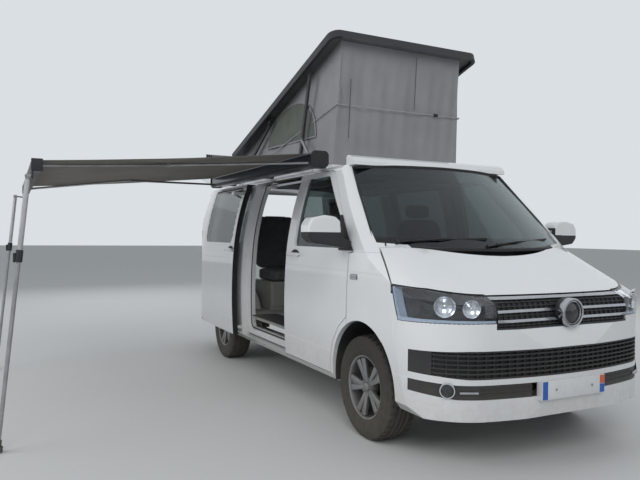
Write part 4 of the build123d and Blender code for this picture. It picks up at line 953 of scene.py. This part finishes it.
# Awning cloth: one coated sheet pulled from the roller in the case to the lead rail, sagging a
# little between the arms and along each hem.
awning_cloth = finish(
    "awning_cloth", (0.20, 0.185, 0.165), (0.17, 0.157, 0.14), 0.85, 0.1, 3, 900, 0.5)
CLOTH_LENGTH, CLOTH_REACH, CLOTH_DROP = 2.556, 1.8640, 0.1700
canopy = grid(70, 90)
for v in canopy.data.vertices:
    u, w = (v.co.x + 1) / 2, (v.co.y + 1) / 2
    taut = sin(pi * u)
    hems = exp(-(w / 0.06) ** 2) + exp(-((1 - w) / 0.06) ** 2)
    sag = 0.030 * taut * (exp(-((w - 0.5) / 0.15) ** 2) + 0.35 * hems)
    ripple = taut * (0.0016 * sin(38 * w + 5 * u) + 0.003 * noise.noise(Vector((u * 3, w * 5, 0))))
    v.co = Vector(
        (-0.9855 - CLOTH_REACH * u, 0.712 + CLOTH_LENGTH * w, 1.9740 - CLOTH_DROP * u - sag + ripple))
fit(thick(canopy, 0.0015, 0.0), "awning_canopy", awning_cloth, "awning_fabric", smooth=80)

# Front seats: two moulded shells on steel boxes, each with a foam cushion, back and headrest in
# sewn grey cloth. The pads are stuffed, with sewn channels, and the headrest stands on two rods.
seat_cloth = finish(
    "grey_seat_cloth", (0.17, 0.17, 0.175), (0.125, 0.125, 0.13), 0.88, 0.08, 30, 1600, 0.8)
pale_cloth = finish(
    "pale_headrest_cloth", (0.26, 0.26, 0.26), (0.21, 0.21, 0.21), 0.88, 0.08, 30, 1600, 0.8)


def pad(low, high, crown=5.0, channels=(), cuts=36, dip=0.008):
    """A stuffed pad between two corners: crowned faces, sides pulled in between its corners, and
    sewn channels, each (axis, place)."""
    low, high = Vector(low), Vector(high)
    made = block((-1, -1, -1), (1, 1, 1))
    open_mesh(made)
    bpy.ops.mesh.subdivide(number_cuts=cuts)
    close_mesh()
    middle, half = (low + high) / 2, (high - low) / 2
    for v in made.data.vertices:
        swell = sum(abs(part) ** crown for part in v.co) ** (1 / crown)
        v.co = Vector([part / swell * reach for part, reach in zip(v.co, half)])
        pull = 1 - 0.035 * (1 - min(1.0, abs(v.co.z) / half.z) ** 2)
        v.co = Vector((v.co.x * pull, v.co.y, v.co.z)) + middle
        for axis, at in channels:
            v.co -= (v.co - middle).normalized() * dip * exp(-((v.co[axis] - at) / 0.010) ** 2)
    return made


def tip_about(y, z, degrees):
    """A turn about a line across the van."""
    line = Vector((0, y, z))
    return Matrix.Translation(line) @ Matrix.Rotation(radians(degrees), 4, "X") @ Matrix.Translation(-line)


def upholster(piece, name, cloth):
    """Fits a pad."""
    fit(piece, name, cloth, smooth=80)


for x, name in ((0.4, "left"), (-0.4, "right")):
    seat_box = rounded(block((x - 0.185, 0.785, 0.5605), (x + 0.185, 1.125, 0.845)), 0.020)
    skirt = rounded(block((x - 0.235, 0.715, 0.835), (x + 0.235, 1.185, 0.880)), 0.015)
    fit(joined(seat_box, skirt), "seat_base_" + name, black_plastic, "front_seats")
    cushion = pad((x - 0.245, 0.700, 0.868), (x + 0.245, 1.150, 0.985), 4.5,
                  ((0, x - 0.150), (0, x + 0.150), (1, 0.93)))
    upholster(cushion, "seat_cushion_" + name, seat_cloth)
    back = pad((x - 0.235, 1.095, 0.965), (x + 0.235, 1.205, 1.510), 4.5,
               ((0, x - 0.145), (0, x + 0.145), (2, 1.20)))
    back.data.transform(tip_about(1.150, 0.98, -9.5))
    upholster(back, "seat_back_" + name, seat_cloth)
    rest = pad((x - 0.125, 1.215, 1.520), (x + 0.125, 1.300, 1.640), 3.6, (), 24)
    upholster(rest, "headrest_" + name, pale_cloth)
    rods = joined(*[bar((x + off, 1.240, 1.480), (x + off, 1.256, 1.560), 0.006) for off in (-0.05, 0.05)])
    fit(rods, "headrest_rods_" + name, bright_strip, smooth=60)


# Rear bench: a pale laminated box with two drawer fronts, two seat pads and two back pads in the
# same cloth, sewn with upright channels.
def panelled(front, wanted, margin, depth):
    """Sinks a field into the chosen face of a front, inside a margin."""
    choose_faces(front, wanted)
    bpy.ops.mesh.inset(thickness=margin, depth=-depth)
    close_mesh()
    return front


box_parts = [rounded(block((-0.598, 2.425, 0.5605), (0.468, 2.955, 0.858)), 0.006, 2)]
for low, high in ((-0.585, -0.072), (-0.058, 0.455)):
    drawer = rounded(block((low, 2.413, 0.60), (high, 2.427, 0.835)), 0.005, 2)
    box_parts.append(panelled(drawer, lambda c, n: n.y < -0.9, 0.020, 0.002))
fit(joined(*box_parts), "bench_box", cabin_plastic, "rear_bench")
for low, high, name in ((-0.598, -0.067, "right"), (-0.063, 0.468, "left")):
    channels = ((0, low + 0.13), (0, high - 0.13))
    upholster(
        pad((low, 2.405, 0.860), (high, 2.880, 0.988), 5.0, channels), "bench_cushion_" + name, seat_cloth)
    back = pad((low, 2.848, 0.975), (high, 2.955, 1.560), 5.0, channels)
    back.data.transform(tip_about(2.900, 0.98, -8))
    upholster(back, "bench_back_" + name, seat_cloth)

# Side doorway: a black moulded sill tread with raised ribs, pressed onto the floor's edge over the
# sliding door's lower runner.
tread_parts = [rounded(block((-0.905, 1.372, 0.5605), (-0.640, 2.168, 0.5645)), 0.0015, 2)]
for x in [index * 0.026 - 0.885 for index in range(9)]:
    tread_parts.append(rounded(block((x - 0.004, 1.385, 0.5640), (x + 0.004, 2.155, 0.5670)), 0.0012, 2))
fit(joined(*tread_parts), "door_sill_tread", black_plastic)

# Sliding door edge: a black rubber seal pressed over the door's leading edge, all the way from the
# sill to the roof.
door_copy = body_copy("sliding_door")
leading = min(v.co.y for v in door_copy.data.vertices)
edge_seal = slice_of(door_copy, (1, leading - 0.01, leading + 0.018), shift=(0, -0.004, 0))
fit(edge_seal, "sliding_door_edge_seal", rubber_seal, smooth=30)
bpy.data.objects.remove(door_copy)

# Kitchen unit: pale laminated cupboards with three doors, each with a push lock, under a dark
# worktop with a rolled edge.
worktop_dark = finish(
    "dark_worktop", (0.050, 0.050, 0.052), (0.085, 0.083, 0.080), 0.35, 0.1, 25, 500, 0.15)
for index, (low, high) in enumerate(((1.392, 1.700), (1.712, 2.020), (2.032, 2.348))):
    cupboard = rounded(block((0.4665, low, 0.60), (0.4795, high, 1.125)), 0.004, 2)
    fit(
        panelled(cupboard, lambda c, n: n.x < -0.9, 0.012, 0.0015), "cupboard_front_%d" % index,
        cabin_plastic)
    lock = turned([(-0.012, 0.011), (-0.0155, 0.010), (-0.017, 0.007), (-0.0155, 0.0004)], 24)
    lock.data.transform(Matrix.Translation((0.4795, high - 0.040, 1.090)))
    fit(lock, "cupboard_lock_%d" % index, bright_strip, smooth=60)
worktop = rounded(block((0.462, 1.383, 1.180), (0.790, 2.357, 1.198)), 0.007)
fit(worktop, "worktop", worktop_dark)

# Awning legs: two telescopic aluminium tubes that hang from the lead rail, each with a black clamp
# on the joint near its top and a black foot pad.
leg_white = finish(
    "anodised_leg", (0.55, 0.55, 0.56), (0.46, 0.46, 0.47), 0.35, 0.12, 12, 500, 0.1, metallic=0.6,
    dust=0.4, top=0.5)
for y, step, name in ((0.706, 0.0, "front"), (3.274, 0.045, "rear")):
    leg = "leg_" + name
    head, foot = Vector((-2.930 - step, y, 1.700)), Vector((-3.090 - step, y, 0.002))
    run = foot - head
    outer_tube = bar(head + run * 0.012, head + run * 0.300, 0.0160, 32)
    inner_tube = bar(head + run * 0.290, head + run * 0.985, 0.0130, 32)
    fit(rounded(joined(outer_tube, inner_tube), 0.0015, 2), "leg_tubes_" + name, leg_white, body=leg)
    collar = rounded(bar(head + run * 0.270, head + run * 0.315, 0.0215, 32), 0.004)
    lever = rounded(block((-0.008, -0.010, -0.030), (0.008, 0.010, 0.030)), 0.005)
    lever.data.transform(Matrix.Translation(head + run * 0.298 + Vector((-0.026, 0, 0))))
    fit(joined(collar, lever), "leg_clamp_" + name, black_plastic, body=leg)
    shoe = bar(head + run * 0.978, head + run * 0.9975, 0.0285, 32)
    ankle = bar(head + run * 0.955, head + run * 0.980, 0.0185, 32)
    fit(rounded(joined(shoe, ankle), 0.004), "leg_foot_" + name, black_plastic, body=leg)

# Roof lifters: a gas cylinder lies along each lift arm, with black eyes at its ends, and pushes the
# roof up. The panel over it is lined with grey fleece inside a dark moulded rim.
LIFT_LEAN = radians(15)
reach = Vector((0, -sin(LIFT_LEAN), cos(LIFT_LEAN)))
for side, name in HANDS:
    foot = Vector((side * 0.684, 1.550, 1.935))
    low_eye, high_eye = foot + reach * 0.060, foot + reach * 0.560
    tube = rounded(bar(low_eye, low_eye.lerp(high_eye, 0.52), 0.0105, 32), 0.002, 2)
    fit(tube, "lift_cylinder_" + name, silver_alloy, body="lift_arms")
    rod = bar(low_eye.lerp(high_eye, 0.50), high_eye, 0.0045, 24)
    fit(rod, "lift_cylinder_rod_" + name, bright_strip, body="lift_arms")
    eyes = [rounded(block(eye - Vector((0.010, 0.014, 0.014)), eye + Vector((0.012, 0.014, 0.014))), 0.006)
            for eye in (low_eye, high_eye)]
    fit(joined(*eyes), "lift_cylinder_eyes_" + name, black_plastic, body="lift_arms")
fleece = finish(
    "grey_roof_lining", (0.13, 0.13, 0.13), (0.10, 0.10, 0.10), 0.9, 0.06, 6, 1200, 0.6)
lining = keep_faces(body_copy("pop_up_roof"), lambda c, n: n.z < -0.85 and abs(c.x) < 0.64 and c.z > 2.2)
fit(thick(lining, 0.002, 1.0), "roof_lining", fleece, body="roof_top")

# Tail lamps: a red lens with a clear reversing window and a smoked lower band, moulded in one
# shell that wraps round the rear corner.
smoked = finish(
    "smoked_red_lens", (0.16, 0.006, 0.008), (0.11, 0.004, 0.006), 0.12, 0.05, 20, 90, 0.1,
    coat=1.0)
lamp_copy = body_copy("tail_lamps")
for label, low, high, lens in (("upper", 1.2895, 1.392, red_lens), ("clear", 1.2065, 1.2885, guide_white),
                               ("amber", 1.1205, 1.2055, smoked), ("foot", 1.045, 1.1195, red_lens)):
    stands = ("tail_lamps",) if label == "upper" else ()
    fit(rounded(slice_of(lamp_copy, (2, low, high)), 0.0012, 2, 40), "tail_lens_" + label, lens, *stands,
        slot="red_lamp", smooth=30)
bpy.data.objects.remove(lamp_copy)

# Bike carrier: three anodised channels on two uprights, folded against the tailgate, with a black
# plug in each channel's end.
gate_raised = tip_about(3.849, 1.918, 98.8)
plugs = []
for side in (-1, 1):
    for z in (1.000, 1.090, 1.180):
        plug = rounded(block((-0.010, -0.026, -0.024), (0.010, 0.026, 0.024)), 0.006)
        plug.data.transform(gate_raised @ Matrix.Translation((side * 0.622, 4.198, z)))
        plugs.append(plug)
fit(joined(*plugs), "carrier_end_plugs", black_plastic, body="tailgate_lid")
